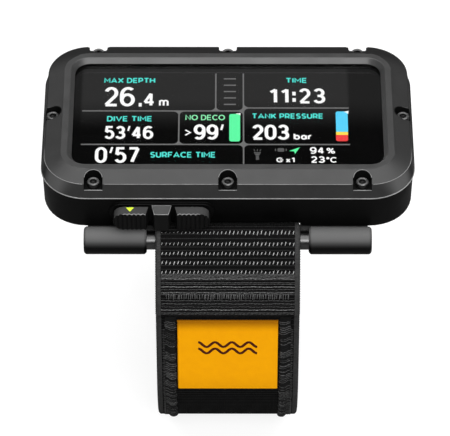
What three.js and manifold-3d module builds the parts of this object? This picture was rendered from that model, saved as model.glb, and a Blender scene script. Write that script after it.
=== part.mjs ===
// Wrist-worn dive computer with a landscape screen, three side buttons and a webbing strap.
// Units are millimetres. The origin is the centre of the back cover's outer face.
// +X is to the wearer's right, +Y is away from the wearer, +Z points out of the screen.
import * as THREE from 'three';
import { mergeVertices } from 'three/addons/utils/BufferGeometryUtils.js';
import Module from 'manifold-3d';

const wasm = await Module();
wasm.setup();

// ---- driving dimensions -------------------------------------------------------------------

const GAP = 0.3; // clearance kept between two separate pieces that touch on the real object

// Case outline at the lower edge of the bezel.
const CASE_HALF_X = 52.5;
const CASE_HALF_Y = 30;
const CASE_CORNER = 12.8;

// Levels through the case, from the wrist up.
const COVER_FLANGE_TOP = 1.7;
const HOUSING_BOTTOM = 2;
const HOUSING_TOP = 12.8;
const BEZEL_BOTTOM = 13.1;
const BEZEL_SHOULDER = 17.8;
const BEZEL_RIDGE = 19.5;

// Bezel section, as insets from the case outline.
const SHOULDER_INSET = 0.97;
const RIDGE_OUTER_INSET = 5.67;
const RIDGE_INNER_INSET = 7.41;
const WINDOW_INSET = 8.68;
const LIP_EDGE = 17.95;
const LIP_UNDERSIDE = 17.75;

// Lens and display stack.
const LENS_INSET = 6.1;
const LENS_BOTTOM = 15.5;
const LENS_TOP = 17.45;
const PANEL_INSET = 8.6;
const PANEL_BOTTOM = 13.6;
const PANEL_TOP = 15.25;
const CARRIER_BOTTOM = 12;
const CARRIER_TOP = 13.3;

// Housing walls: nearly upright, with a small sloped edge at the floor and room for the strap.
const FLOOR_INSET = 0.75;
const WALL_FOOT_INSET = 0.5;
const WALL_FOOT = 2.5;
const WALL_TOP_INSET = 0.25;
const CAVITY_INSET = 7.3;
const CAVITY_FLOOR = 3.4;
const OPENING_HALF_X = 37.2;
const OPENING_HALF_Y = 14.7;
const OPENING_CORNER = 4;

// Bezel screws: three along the front, three along the back, one at each end.
const BEZEL_SCREW_X = 37.5;
const BEZEL_SCREW_INSET = 2.75;
const NOTCH_RADIUS = 2.55;
const NOTCH_FLOOR = 15.9;
const SCREW_HEAD_RADIUS = 1.8;
const SCREW_HEAD_HEIGHT = 1.5;
const SCREW_SHANK_RADIUS = 1;
const SCREW_SHANK_LENGTH = 9.2;
const BEZEL_HOLE_END = 5.9;
const SCREW_SOCKET_RADIUS = 0.95;
const SCREW_SOCKET_DEPTH = 0.8;

// Back cover and what it carries.
const COVER_HALF_X = 47;
const COVER_HALF_Y = 21.3;
const COVER_CORNER = 8;
const COVER_PLUG_TOP = 3.1;
const COVER_EDGE_STEP = 0.5;
const SEAL_HALF_X = 39.6;
const SEAL_HALF_Y = 17.1;
const SEAL_CORNER = 6;
const SEAL_WIDTH = 1;
const SEAL_BOTTOM = 1.1;
const SEAL_TOP = 1.85;
const COVER_SCREW_X = 43;
const COVER_SCREW_Y = 17.3;
const COVER_SCREW_LENGTH = 6.4;
const COVER_HOLE_END = 7.9;
const LOW_HEAD_HEIGHT = 0.9;
const LOW_HEAD_BASE = 1.05;
const LOW_HEAD_SEAT = 1.2;
const BOSS_RADIUS = 3.2;
const BOSS_TOP = 8.4;
const SENSOR_X = -30;
const SENSOR_Y = -6;
const SENSOR_RADIUS = 4;
const SENSOR_COVER_RADIUS = 5.7;
const SENSOR_COVER_BOTTOM = 0.1;
const SENSOR_RECESS = 0.9;
const CONTACT_X = [24, 29];
const CONTACT_Y = -6;
const CONTACT_RADIUS = 1.2;
const CONTACT_BOTTOM = 0.1;
const CONTACT_TOP = 3.4;

// Boards, cell and other pieces inside the case.
const BOARD_HALF_X = 43.5;
const BOARD_HALF_Y = 19.4;
const BOARD_CENTRE_Y = 2.2;
const BOARD_BOTTOM = 8.9;
const BOARD_TOP = 10.1;
const CELL_HALF_X = 30.5;
const CELL_HALF_Y = 16;
const CELL_CENTRE_X = 6.5;
const CELL_CENTRE_Y = 1.5;
const CELL_BOTTOM = 3.8;
const CELL_TOP = 8.4;
const MOTOR_X = -34;
const MOTOR_Y = 8;
const MOTOR_RADIUS = 5;
const MOTOR_BOTTOM = 3.9;
const MOTOR_TOP = 6.9;
const SENSOR_TOP = 5.6;
const SENSOR_PORT_RADIUS = 1.2;
const SENSOR_PORT_DEPTH = 1.2;
const VENT_RADIUS = 0.6;
const VENT_CIRCLE = 3;
const VENT_COUNT = 6;
const CABLE_SLOT = { halfX: 9, halfY: 1.6, radius: 1.5, x: 20, y: 14 };
const SWITCH_BOARD_FRONT_Y = -18.9;
const SWITCH_BOARD_THICKNESS = 1;
const SWITCH_BOARD_MARGIN = 5.5;
const SWITCH_BOARD_BOTTOM = 4.2;
const SWITCH_BOARD_TOP = 10.5;
const SWITCH_HALF_WIDTH = 2.2;
const SWITCH_HALF_HEIGHT = 2;
const SWITCH_FRONT_Y = -20;
const SWITCH_BACK_Y = -19.2;
const PLUNGER_RADIUS = 1.1;
const PLUNGER_REACH = 0.4;

// Buttons, on the front wall and left of the middle.
const BUTTON_CENTRE_X = -18.5;
const BUTTON_CENTRE_Z = 8.5;
const BUTTON_HEIGHT = 5.9;
const BUTTON_BACK_Y = -31.4;
const BUTTON_FRONT_Y = -34.7;
const CLUSTER_HALF_X = 13.6;
const LOBE_INNER_BACK = 3.65;
const LOBE_INNER_FRONT = 4.4;
const KEY_HALF_BACK = 2.72;
const KEY_HALF_FRONT = 1.95;
const KEY_RISE = 0.4;
const KEY_REACH = 0.3;
const FLUTE_PITCH = 1.25;
const FLUTE_RADIUS = 0.62;
const FLUTE_COUNT = 7;
const STEM_OFFSET = 8.6;
const STEM_RADIUS = 1;
const STEM_TIP_Y = -21.2;
const PAD_FACE_Y = -30.7;
const PAD_RADIUS = 3.15;
const PAD_MARGIN = 1.1;
const SPRING_WELL_RADIUS = 2.2;
const SPRING_WELL_END_Y = -27.4;
const SPRING_RADIUS = 1.6;
const SPRING_WIRE_RADIUS = 0.25;
const SPRING_TURNS = 3.5;
const RING_GROOVE_Y = -25.6;
const RING_GROOVE_WIDTH = 1.6;
const RING_GROOVE_RADIUS = 2.4;
const RING_RADIUS = 1.78;
const RING_WIRE_RADIUS = 0.45;
const CLIP_Y = -22.3;
const CLIP_THICKNESS = 0.4;
const CLIP_RADIUS = 2;

// Strap bars and lugs.
const BAR_Y = 33.06;
const BAR_RADIUS = 2.62;
const LUG_RADIUS = 3.94;
const LUG_INNER_X = 22.75;
const LUG_OUTER_X = 40.4;
const LUG_BORE_END_X = 38;
const LUG_END_ROUND = 0.6;
const LUG_SCREW_X = 34.5;
const LUG_SCREW_Y = 25.3;
const LUG_FOOT_BOTTOM = 0.3;
const LUG_FOOT_INNER_X = 20.7;
const LUG_FOOT_INNER_Y = 22;
const LUG_STEPS = 28;
const LUG_SCREW_LENGTH = 5.6;
const LUG_HOLE_END = 7;

// Strap: the loop is a stadium seen from the side, hung from the two bars.
const STRAP_HALF_WIDTH = 20.1;
const STRAP_THICKNESS = 2;
const LOOP_RADIUS = 43;
const LOOP_ARC_Z = -42.2;
const LAYER_STEP = STRAP_THICKNESS + GAP;
const STRAP_RELIEF = BAR_RADIUS + GAP + STRAP_THICKNESS + GAP; // radius of the channel in the housing
const STRAP_RELIEF_HALF = STRAP_HALF_WIDTH + 0.6;
const MEET_Z = -17; // below this the outer layer lies flat on the loop
const OUTER_LEAN = 36; // degrees from upright where the outer layer leaves the bar
const INNER_LEAN = 62;
const REAR_END_Z = -40;
const HOOK_THICKNESS = 1.2;
const HOOK_MARGIN = 2.5;
const REAR_LAYER_STEP = LAYER_STEP + HOOK_THICKNESS + GAP;
const HOOK_TOP_Z = -20;
const HOOK_BOTTOM_Z = -38.5;
const TAB_LENGTH = 12;
const TAB_THICKNESS = 2.8;
const RIB_X = 16.3;
const RIB_WIDTH = 3.2;
const RIB_THICKNESS = 0.8;
const RIB_TOP_Z = -19.5;
const RIB_SWEEP = 172;
const LABEL_WIDTH = 28.6;
const LABEL_THICKNESS = 0.7;
const LABEL_TOP_Z = -20.6;
const LABEL_SWEEP = 8.6;

const ROUND_STEPS = 16; // sides of a small round piece
const HOLE_STEPS = 10; // sides of a screw hole
const NOTCH_STEPS = 32; // sides of a screw notch, whose edge is seen against the light
const VENT_STEPS = 8;
const CORNER_STEPS = 10; // steps round a quarter corner of the case
const ARC_STEPS = 3; // ExtrudeGeometry divides each arc of a shape into twice this many
const QUARTERS = [[-1, -1], [1, -1], [1, 1], [-1, 1]]; // signs of x and y, in order round the case

// ---- materials ----------------------------------------------------------------------------

function material(color, roughness, metalness) {
  return new THREE.MeshStandardMaterial({ color, roughness, metalness });
}

const satinMetal = material(0x3c3d3f, 0.45, 0.7);
const blackPolymer = material(0x0e0f10, 0.6, 0);
const lensGlass = material(0x111214, 0.05, 0);
const displayStack = material(0x060708, 0.3, 0);
const sealRubber = material(0x161616, 0.8, 0);
const blackScrew = material(0x1d1e20, 0.4, 0.8);
const lugMetal = material(0x46474a, 0.5, 0.6);
const barSteel = material(0x8c8f93, 0.35, 1);
const springSteel = material(0xa8abad, 0.3, 1);
const webbing = material(0x131314, 0.9, 0);
const labelFabric = material(0xf6a10a, 0.7, 0);
const buttonMetal = material(0x4a4b4d, 0.5, 0.5);
const boardGreen = material(0x17402c, 0.5, 0);
const cellFoil = material(0x9c9fa2, 0.4, 0.8);
const goldPlate = material(0xc9a14a, 0.3, 1);

// ---- solids and joins ---------------------------------------------------------------------

function solid(geometry) {
  const bare = geometry.clone();
  bare.deleteAttribute('normal');
  bare.deleteAttribute('uv');
  const welded = mergeVertices(bare, 1e-5);
  const triVerts = Uint32Array.from(welded.index.array);
  const vertProperties = Float32Array.from(welded.attributes.position.array);
  return new wasm.Manifold(new wasm.Mesh({ numProp: 3, vertProperties, triVerts }));
}

function geometryOf(manifold) {
  const mesh = manifold.getMesh();
  const geometry = new THREE.BufferGeometry();
  geometry.setAttribute('position', new THREE.BufferAttribute(mesh.vertProperties, 3));
  geometry.setIndex(new THREE.BufferAttribute(mesh.triVerts, 1));
  return geometry;
}

function cut(body, ...tools) {
  return tools.reduce((left, tool) => left.subtract(tool), body);
}

function join(body, ...others) {
  return others.reduce((left, other) => left.add(other), body);
}

// ---- basic shapes -------------------------------------------------------------------------

function roundedRectangle(halfX, halfY, radius, centreX = 0, centreY = 0) {
  const shape = new THREE.Shape();
  const corners = [[1, 1], [-1, 1], [-1, -1], [1, -1]];
  corners.forEach(([signX, signY], quarter) => {
    const x = centreX + signX * (halfX - radius);
    const y = centreY + signY * (halfY - radius);
    shape.absarc(x, y, radius, quarter * Math.PI / 2, (quarter + 1) * Math.PI / 2, false);
  });
  return shape;
}

function stadium(halfLength, radius, centreX, centreY) {
  const shape = new THREE.Shape();
  shape.absarc(centreX + halfLength - radius, centreY, radius, -Math.PI / 2, Math.PI / 2, false);
  shape.absarc(centreX - halfLength + radius, centreY, radius, Math.PI / 2, Math.PI * 1.5, false);
  return shape;
}

// A shape drawn in plan, extruded upwards.
function plate(shape, bottom, top, steps = ARC_STEPS) {
  const options = { depth: top - bottom, bevelEnabled: false, curveSegments: steps };
  const geometry = new THREE.ExtrudeGeometry(shape, options);
  geometry.translate(0, 0, bottom);
  return solid(geometry);
}

// A shape drawn as seen from the front (x, z), extruded from lowY to highY.
function frontPlate(shape, lowY, highY) {
  const options = { depth: highY - lowY, bevelEnabled: false, curveSegments: ARC_STEPS * 2 };
  const geometry = new THREE.ExtrudeGeometry(shape, options);
  geometry.rotateX(Math.PI / 2);
  geometry.translate(0, highY, 0);
  return solid(geometry);
}

// A shape drawn as seen from the side (y, z), extruded from lowX to highX.
function sidePlate(shape, lowX, highX) {
  const geometry = new THREE.ExtrudeGeometry(shape, { depth: highX - lowX, bevelEnabled: false });
  geometry.rotateX(Math.PI / 2);
  geometry.rotateZ(Math.PI / 2);
  geometry.translate(lowX, 0, 0);
  return geometry;
}

function block(lowX, highX, lowY, highY, lowZ, highZ) {
  const geometry = new THREE.BoxGeometry(
    Math.abs(highX - lowX),
    Math.abs(highY - lowY),
    Math.abs(highZ - lowZ),
  );
  geometry.translate((lowX + highX) / 2, (lowY + highY) / 2, (lowZ + highZ) / 2);
  return solid(geometry);
}

function discZ(radius, x, y, bottom, top, steps = ROUND_STEPS) {
  const geometry = new THREE.CylinderGeometry(radius, radius, top - bottom, steps);
  geometry.rotateX(Math.PI / 2);
  geometry.translate(x, y, (bottom + top) / 2);
  return solid(geometry);
}

function discY(radius, x, z, lowY, highY, steps = ROUND_STEPS) {
  const geometry = new THREE.CylinderGeometry(radius, radius, highY - lowY, steps);
  geometry.translate(x, (lowY + highY) / 2, z);
  return solid(geometry);
}

// A plan outline of the case, inset by the same amount all round.
function caseOutline(inset) {
  return roundedRectangle(CASE_HALF_X - inset, CASE_HALF_Y - inset, CASE_CORNER - inset);
}

// A closed body through case outlines at rising levels; each level is [inset, z].
function caseStack(levels) {
  const rings = levels.map(([inset, z]) => {
    const ring = [];
    for (let quarter = 0; quarter < 4; quarter += 1) {
      const signX = quarter === 0 || quarter === 3 ? 1 : -1;
      const signY = quarter < 2 ? 1 : -1;
      for (let step = 0; step <= CORNER_STEPS; step += 1) {
        const angle = (quarter + step / CORNER_STEPS) * Math.PI / 2;
        const x = signX * (CASE_HALF_X - CASE_CORNER) + (CASE_CORNER - inset) * Math.cos(angle);
        const y = signY * (CASE_HALF_Y - CASE_CORNER) + (CASE_CORNER - inset) * Math.sin(angle);
        ring.push([x, y, z]);
      }
    }
    return ring;
  });
  const count = rings[0].length;
  const positions = rings.flat(2);
  const bottomCentre = rings.length * count;
  const topCentre = bottomCentre + 1;
  positions.push(0, 0, levels[0][1], 0, 0, levels[levels.length - 1][1]);
  const index = [];
  for (let step = 0; step < count; step += 1) {
    const next = (step + 1) % count;
    const top = (rings.length - 1) * count;
    index.push(bottomCentre, next, step, topCentre, top + step, top + next);
    for (let level = 0; level + 1 < rings.length; level += 1) {
      const low = level * count;
      const high = low + count;
      index.push(low + step, low + next, high + next, low + step, high + next, high + step);
    }
  }
  const geometry = new THREE.BufferGeometry();
  geometry.setAttribute('position', new THREE.Float32BufferAttribute(positions, 3));
  geometry.setIndex(index);
  return solid(geometry);
}

// ---- case ---------------------------------------------------------------------------------

function bezelScrewPlaces() {
  const y = CASE_HALF_Y - BEZEL_SCREW_INSET;
  const x = CASE_HALF_X - BEZEL_SCREW_INSET;
  const front = [-BEZEL_SCREW_X, 0, BEZEL_SCREW_X].map((place) => [place, -y]);
  const back = [BEZEL_SCREW_X, 0, -BEZEL_SCREW_X].map((place) => [place, y]);
  return [...front, [x, 0], ...back, [-x, 0]];
}

// A screw notch: round at its inner end and open through the outer side of the bezel.
function screwNotch(x, y) {
  const outwardX = Math.abs(x) > BEZEL_SCREW_X + 1 ? Math.sign(x) : 0;
  const outwardY = outwardX === 0 ? Math.sign(y) : 0;
  const reach = 6;
  const lowX = outwardX === 0 ? x - NOTCH_RADIUS : Math.min(x, x + outwardX * reach);
  const highX = outwardX === 0 ? x + NOTCH_RADIUS : Math.max(x, x + outwardX * reach);
  const lowY = outwardY === 0 ? y - NOTCH_RADIUS : Math.min(y, y + outwardY * reach);
  const highY = outwardY === 0 ? y + NOTCH_RADIUS : Math.max(y, y + outwardY * reach);
  const top = BEZEL_RIDGE + 1;
  const mouth = block(lowX, highX, lowY, highY, NOTCH_FLOOR, top);
  return join(discZ(NOTCH_RADIUS, x, y, NOTCH_FLOOR, top, NOTCH_STEPS), mouth);
}

function bezel() {
  const body = caseStack([
    [0, BEZEL_BOTTOM],
    [SHOULDER_INSET, BEZEL_SHOULDER],
    [RIDGE_OUTER_INSET, BEZEL_RIDGE],
  ]);
  const window = caseStack([
    [WINDOW_INSET, BEZEL_BOTTOM - 1],
    [WINDOW_INSET, LIP_EDGE],
    [RIDGE_INNER_INSET, BEZEL_RIDGE],
    [RIDGE_INNER_INSET, BEZEL_RIDGE + 1],
  ]);
  const lensPocket = plate(caseOutline(LENS_INSET - GAP), BEZEL_BOTTOM - 1, LIP_UNDERSIDE);
  const places = bezelScrewPlaces();
  const notches = places.map(([x, y]) => screwNotch(x, y));
  const holeRadius = SCREW_SHANK_RADIUS + GAP;
  const holes = places.map(([x, y]) => discZ(holeRadius, x, y, BEZEL_BOTTOM - 1, BEZEL_RIDGE));
  return cut(body, window, lensPocket, ...notches, ...holes);
}

function lens() {
  return plate(caseOutline(LENS_INSET), LENS_BOTTOM, LENS_TOP);
}

function lensGasket() {
  const bottom = HOUSING_TOP + GAP / 2;
  const top = LENS_BOTTOM - GAP / 2;
  const outer = plate(caseOutline(LENS_INSET), bottom, top);
  return cut(outer, plate(caseOutline(CAVITY_INSET), bottom - 1, top + 1));
}

function displayPanel() {
  return plate(caseOutline(PANEL_INSET), PANEL_BOTTOM, PANEL_TOP);
}

function displayCarrier() {
  const { halfX, halfY, radius, x, y } = CABLE_SLOT;
  const slotShape = roundedRectangle(halfX, halfY, radius, x, y);
  const body = plate(caseOutline(CAVITY_INSET + GAP), CARRIER_BOTTOM, CARRIER_TOP);
  return cut(body, plate(slotShape, CARRIER_BOTTOM - 1, CARRIER_TOP + 1));
}

function buttonPlaces() {
  return [-STEM_OFFSET, 0, STEM_OFFSET].map((offset) => BUTTON_CENTRE_X + offset);
}

// The bore of one button: a spring well outside, a ring groove and a plain guide.
function buttonBore(x) {
  const z = BUTTON_CENTRE_Z;
  const innerWall = -(CASE_HALF_Y - CAVITY_INSET) + 1;
  const guide = discY(STEM_RADIUS + GAP, x, z, PAD_FACE_Y - 1, innerWall);
  const well = discY(SPRING_WELL_RADIUS, x, z, PAD_FACE_Y - 1, SPRING_WELL_END_Y);
  const halfGroove = RING_GROOVE_WIDTH / 2;
  const groove = discY(RING_GROOVE_RADIUS, x, z, RING_GROOVE_Y - halfGroove, RING_GROOVE_Y + halfGroove);
  return join(guide, well, groove);
}

// The raised pad behind the buttons, a stadium seen from the front.
function buttonPad() {
  const half = CLUSTER_HALF_X + PAD_MARGIN;
  const insideWallY = 2 - CASE_HALF_Y;
  return frontPlate(stadium(half, PAD_RADIUS, BUTTON_CENTRE_X, BUTTON_CENTRE_Z), PAD_FACE_Y, insideWallY);
}

function coverScrewPlaces() {
  return QUARTERS.map(([signX, signY]) => [signX * COVER_SCREW_X, signY * COVER_SCREW_Y]);
}

function lugPlaces() {
  return QUARTERS.map(([signX, signY]) => ({ x: signX * LUG_SCREW_X, y: signY * LUG_SCREW_Y }));
}

// The channel in the housing's lower edge that the webbing passes through on its way round a bar.
function strapRelief(signY) {
  const length = STRAP_RELIEF_HALF * 2;
  const geometry = new THREE.CylinderGeometry(STRAP_RELIEF, STRAP_RELIEF, length, LUG_STEPS);
  geometry.rotateZ(Math.PI / 2);
  geometry.translate(0, signY * BAR_Y, 0);
  return solid(geometry);
}

function housing() {
  const shell = caseStack([
    [FLOOR_INSET, HOUSING_BOTTOM],
    [WALL_FOOT_INSET, WALL_FOOT],
    [WALL_TOP_INSET, HOUSING_TOP],
  ]);
  const cavity = plate(caseOutline(CAVITY_INSET), CAVITY_FLOOR, HOUSING_TOP + 1);
  const bosses = coverScrewPlaces().map(([x, y]) => discZ(BOSS_RADIUS, x, y, HOUSING_BOTTOM, BOSS_TOP));
  const openingShape = roundedRectangle(OPENING_HALF_X, OPENING_HALF_Y, OPENING_CORNER);
  const opening = plate(openingShape, HOUSING_BOTTOM - 1, CAVITY_FLOOR + 1);
  const holeRadius = SCREW_SHANK_RADIUS + GAP;
  const hole = (x, y, bottom, top) => discZ(holeRadius, x, y, bottom, top, HOLE_STEPS);
  const topHoles = bezelScrewPlaces().map(([x, y]) => hole(x, y, BEZEL_HOLE_END, HOUSING_TOP + 1));
  const coverHoles = coverScrewPlaces().map(([x, y]) => hole(x, y, HOUSING_BOTTOM - 1, COVER_HOLE_END));
  const lugHoles = lugPlaces().map(({ x, y }) => hole(x, y, HOUSING_BOTTOM - 1, LUG_HOLE_END));
  const body = join(cut(join(shell, buttonPad()), cavity), ...bosses);
  const bores = buttonPlaces().map(buttonBore);
  const reliefs = [-1, 1].map(strapRelief);
  return cut(body, opening, ...topHoles, ...coverHoles, ...lugHoles, ...bores, ...reliefs);
}

function backCover() {
  const flangeShape = roundedRectangle(COVER_HALF_X, COVER_HALF_Y, COVER_CORNER);
  const flange = plate(flangeShape, COVER_EDGE_STEP, COVER_FLANGE_TOP);
  const faceShape = roundedRectangle(
    COVER_HALF_X - COVER_EDGE_STEP,
    COVER_HALF_Y - COVER_EDGE_STEP,
    COVER_CORNER - COVER_EDGE_STEP,
  );
  const face = plate(faceShape, 0, COVER_EDGE_STEP);
  const plugShape = roundedRectangle(OPENING_HALF_X - GAP, OPENING_HALF_Y - GAP, OPENING_CORNER - GAP);
  const plug = plate(plugShape, COVER_EDGE_STEP, COVER_PLUG_TOP);
  const grooveHalf = SEAL_WIDTH / 2 + GAP;
  const groove = sealRing(grooveHalf, SEAL_BOTTOM - GAP / 2, COVER_FLANGE_TOP + 1);
  const holes = coverScrewPlaces().flatMap(([x, y]) => [
    discZ(SCREW_SHANK_RADIUS + GAP, x, y, -1, COVER_FLANGE_TOP + 1, HOLE_STEPS),
    discZ(SCREW_HEAD_RADIUS + GAP, x, y, -1, LOW_HEAD_SEAT),
  ]);
  const sensorRecess = discZ(SENSOR_COVER_RADIUS + GAP, SENSOR_X, SENSOR_Y, -1, SENSOR_RECESS);
  const sensorBore = discZ(SENSOR_RADIUS + GAP, SENSOR_X, SENSOR_Y, -1, COVER_PLUG_TOP + 1);
  const contactHoles = CONTACT_X.map(
    (x) => discZ(CONTACT_RADIUS + GAP, x, CONTACT_Y, -1, COVER_PLUG_TOP + 1),
  );
  return cut(join(flange, face, plug), groove, ...holes, sensorRecess, sensorBore, ...contactHoles);
}

// A flat ring that follows the seal line of the back cover.
function sealRing(halfWidth, bottom, top) {
  const outline = (grow) => roundedRectangle(SEAL_HALF_X + grow, SEAL_HALF_Y + grow, SEAL_CORNER + grow);
  return cut(plate(outline(halfWidth), bottom, top), plate(outline(-halfWidth), bottom - 1, top + 1));
}

// ---- inside the case ----------------------------------------------------------------------

function mainBoard() {
  const shape = roundedRectangle(BOARD_HALF_X, BOARD_HALF_Y, 3, 0, BOARD_CENTRE_Y);
  return plate(shape, BOARD_BOTTOM, BOARD_TOP);
}

function battery() {
  const shape = roundedRectangle(CELL_HALF_X, CELL_HALF_Y, 2, CELL_CENTRE_X, CELL_CENTRE_Y);
  return plate(shape, CELL_BOTTOM, CELL_TOP);
}

function vibrationMotor() {
  return discZ(MOTOR_RADIUS, MOTOR_X, MOTOR_Y, MOTOR_BOTTOM, MOTOR_TOP);
}

function pressureSensor() {
  const bottom = SENSOR_RECESS + GAP;
  const can = discZ(SENSOR_RADIUS, SENSOR_X, SENSOR_Y, bottom, SENSOR_TOP);
  const port = discZ(SENSOR_PORT_RADIUS, SENSOR_X, SENSOR_Y, 0, bottom + SENSOR_PORT_DEPTH, HOLE_STEPS);
  return cut(can, port);
}

// A perforated disc: one vent in the middle and a ring of them round it.
function sensorCover() {
  const disc = discZ(SENSOR_COVER_RADIUS, SENSOR_X, SENSOR_Y, SENSOR_COVER_BOTTOM, SENSOR_RECESS - GAP);
  const vent = (x, y) => discZ(VENT_RADIUS, x, y, -1, SENSOR_RECESS + 1, VENT_STEPS);
  const vents = [vent(SENSOR_X, SENSOR_Y)];
  for (let step = 0; step < VENT_COUNT; step += 1) {
    const angle = step * 2 * Math.PI / VENT_COUNT;
    vents.push(vent(SENSOR_X + VENT_CIRCLE * Math.cos(angle), SENSOR_Y + VENT_CIRCLE * Math.sin(angle)));
  }
  return cut(disc, ...vents);
}

function chargeContact(x) {
  return discZ(CONTACT_RADIUS, x, CONTACT_Y, CONTACT_BOTTOM, CONTACT_TOP, HOLE_STEPS);
}

function buttonBoard() {
  const half = STEM_OFFSET + SWITCH_BOARD_MARGIN;
  return block(
    BUTTON_CENTRE_X - half,
    BUTTON_CENTRE_X + half,
    SWITCH_BOARD_FRONT_Y,
    SWITCH_BOARD_FRONT_Y + SWITCH_BOARD_THICKNESS,
    SWITCH_BOARD_BOTTOM,
    SWITCH_BOARD_TOP,
  );
}

// A tactile switch: a square body with a round plunger towards the stem of its button.
function tactSwitch(x) {
  const body = block(
    x - SWITCH_HALF_WIDTH,
    x + SWITCH_HALF_WIDTH,
    SWITCH_FRONT_Y,
    SWITCH_BACK_Y,
    BUTTON_CENTRE_Z - SWITCH_HALF_HEIGHT,
    BUTTON_CENTRE_Z + SWITCH_HALF_HEIGHT,
  );
  const tip = SWITCH_FRONT_Y - PLUNGER_REACH;
  return join(body, discY(PLUNGER_RADIUS, x, BUTTON_CENTRE_Z, tip, SWITCH_BACK_Y, HOLE_STEPS));
}

// ---- fasteners ----------------------------------------------------------------------------

// A socket-head screw that stands on the origin: head above, shank below.
function screw(headHeight, shankLength) {
  const edge = 0.25;
  const profile = [
    [0, -shankLength],
    [SCREW_SHANK_RADIUS, -shankLength],
    [SCREW_SHANK_RADIUS, 0],
    [SCREW_HEAD_RADIUS, 0],
    [SCREW_HEAD_RADIUS, headHeight - edge],
    [SCREW_HEAD_RADIUS - edge, headHeight],
    [0, headHeight],
  ].map(([radius, height]) => new THREE.Vector2(radius, height));
  const geometry = new THREE.LatheGeometry(profile, 12);
  geometry.rotateX(Math.PI / 2);
  const depth = Math.min(SCREW_SOCKET_DEPTH, headHeight * 0.7);
  const socket = discZ(SCREW_SOCKET_RADIUS, 0, 0, headHeight - depth, headHeight + 1, 6);
  return geometryOf(cut(solid(geometry), socket));
}

// ---- buttons ------------------------------------------------------------------------------

// A cap is its plan outline cut to the rounded height of the whole cluster, plus a round stem.
function buttonCap(outline, stemX, rise) {
  const low = BUTTON_CENTRE_Z - BUTTON_HEIGHT / 2;
  const high = BUTTON_CENTRE_Z + BUTTON_HEIGHT / 2 + rise;
  const plan = plate(new THREE.Shape(outline), low, high);
  const faceShape = stadium(CLUSTER_HALF_X, (high - low) / 2, BUTTON_CENTRE_X, (high + low) / 2);
  const face = frontPlate(faceShape, BUTTON_FRONT_Y - 1, BUTTON_BACK_Y + 1);
  const stem = discY(STEM_RADIUS, stemX, BUTTON_CENTRE_Z, BUTTON_BACK_Y - 0.5, STEM_TIP_Y);
  return join(plan.intersect(face), stem);
}

// A lobe runs from the gap beside the key to the round end of the cluster; side is -1 or 1.
function lobe(side) {
  const at = (offset, y) => new THREE.Vector2(BUTTON_CENTRE_X + side * offset, y);
  const outline = [
    at(LOBE_INNER_BACK, BUTTON_BACK_Y),
    at(LOBE_INNER_FRONT, BUTTON_FRONT_Y),
    at(CLUSTER_HALF_X - 0.6, BUTTON_FRONT_Y),
    at(CLUSTER_HALF_X, BUTTON_FRONT_Y + 0.6),
    at(CLUSTER_HALF_X, BUTTON_BACK_Y),
  ];
  const cap = buttonCap(outline, BUTTON_CENTRE_X + side * STEM_OFFSET, 0);
  const flutes = [];
  for (let step = 0; step < FLUTE_COUNT; step += 1) {
    const x = BUTTON_CENTRE_X + side * (LOBE_INNER_FRONT + 0.75 + step * FLUTE_PITCH);
    flutes.push(discZ(FLUTE_RADIUS, x, BUTTON_FRONT_Y - 0.2, 0, HOUSING_TOP, 8));
  }
  return cut(cap, ...flutes);
}

function key() {
  const front = BUTTON_FRONT_Y - KEY_REACH;
  const outline = [
    new THREE.Vector2(BUTTON_CENTRE_X - KEY_HALF_BACK, BUTTON_BACK_Y),
    new THREE.Vector2(BUTTON_CENTRE_X - KEY_HALF_FRONT, front),
    new THREE.Vector2(BUTTON_CENTRE_X + KEY_HALF_FRONT, front),
    new THREE.Vector2(BUTTON_CENTRE_X + KEY_HALF_BACK, BUTTON_BACK_Y),
  ];
  return buttonCap(outline, BUTTON_CENTRE_X, KEY_RISE);
}

class Helix extends THREE.Curve {
  constructor(x, z, startY, endY) {
    super();
    Object.assign(this, { x, z, startY, endY });
  }

  getPoint(t, target = new THREE.Vector3()) {
    const angle = t * SPRING_TURNS * 2 * Math.PI;
    const x = this.x + SPRING_RADIUS * Math.cos(angle);
    const z = this.z + SPRING_RADIUS * Math.sin(angle);
    return target.set(x, this.startY + t * (this.endY - this.startY), z);
  }
}

function returnSpring(x) {
  const startY = BUTTON_BACK_Y + GAP + SPRING_WIRE_RADIUS;
  const endY = SPRING_WELL_END_Y - GAP - SPRING_WIRE_RADIUS;
  const path = new Helix(x, BUTTON_CENTRE_Z, startY, endY);
  const section = new THREE.Shape().absarc(0, 0, SPRING_WIRE_RADIUS, 0, 2 * Math.PI);
  const options = { steps: SPRING_TURNS * 10, extrudePath: path, curveSegments: 2, bevelEnabled: false };
  return new THREE.ExtrudeGeometry(section, options);
}

function stemRing(x) {
  const geometry = new THREE.TorusGeometry(RING_RADIUS, RING_WIRE_RADIUS, 6, ROUND_STEPS);
  geometry.rotateX(Math.PI / 2);
  geometry.translate(x, RING_GROOVE_Y, BUTTON_CENTRE_Z);
  return geometry;
}

// A retaining clip: a flat ring with a mouth, so that it can be pushed on from the side.
function stemClip(x) {
  const z = BUTTON_CENTRE_Z;
  const disc = discY(CLIP_RADIUS, x, z, CLIP_Y, CLIP_Y + CLIP_THICKNESS);
  const hole = discY(STEM_RADIUS + 0.15, x, z, CLIP_Y - 1, CLIP_Y + 1);
  const mouth = block(x - 0.7, x + 0.7, CLIP_Y - 1, CLIP_Y + 1, z - CLIP_RADIUS - 1, z);
  return cut(disc, hole, mouth);
}

// ---- strap hardware -----------------------------------------------------------------------

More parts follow.
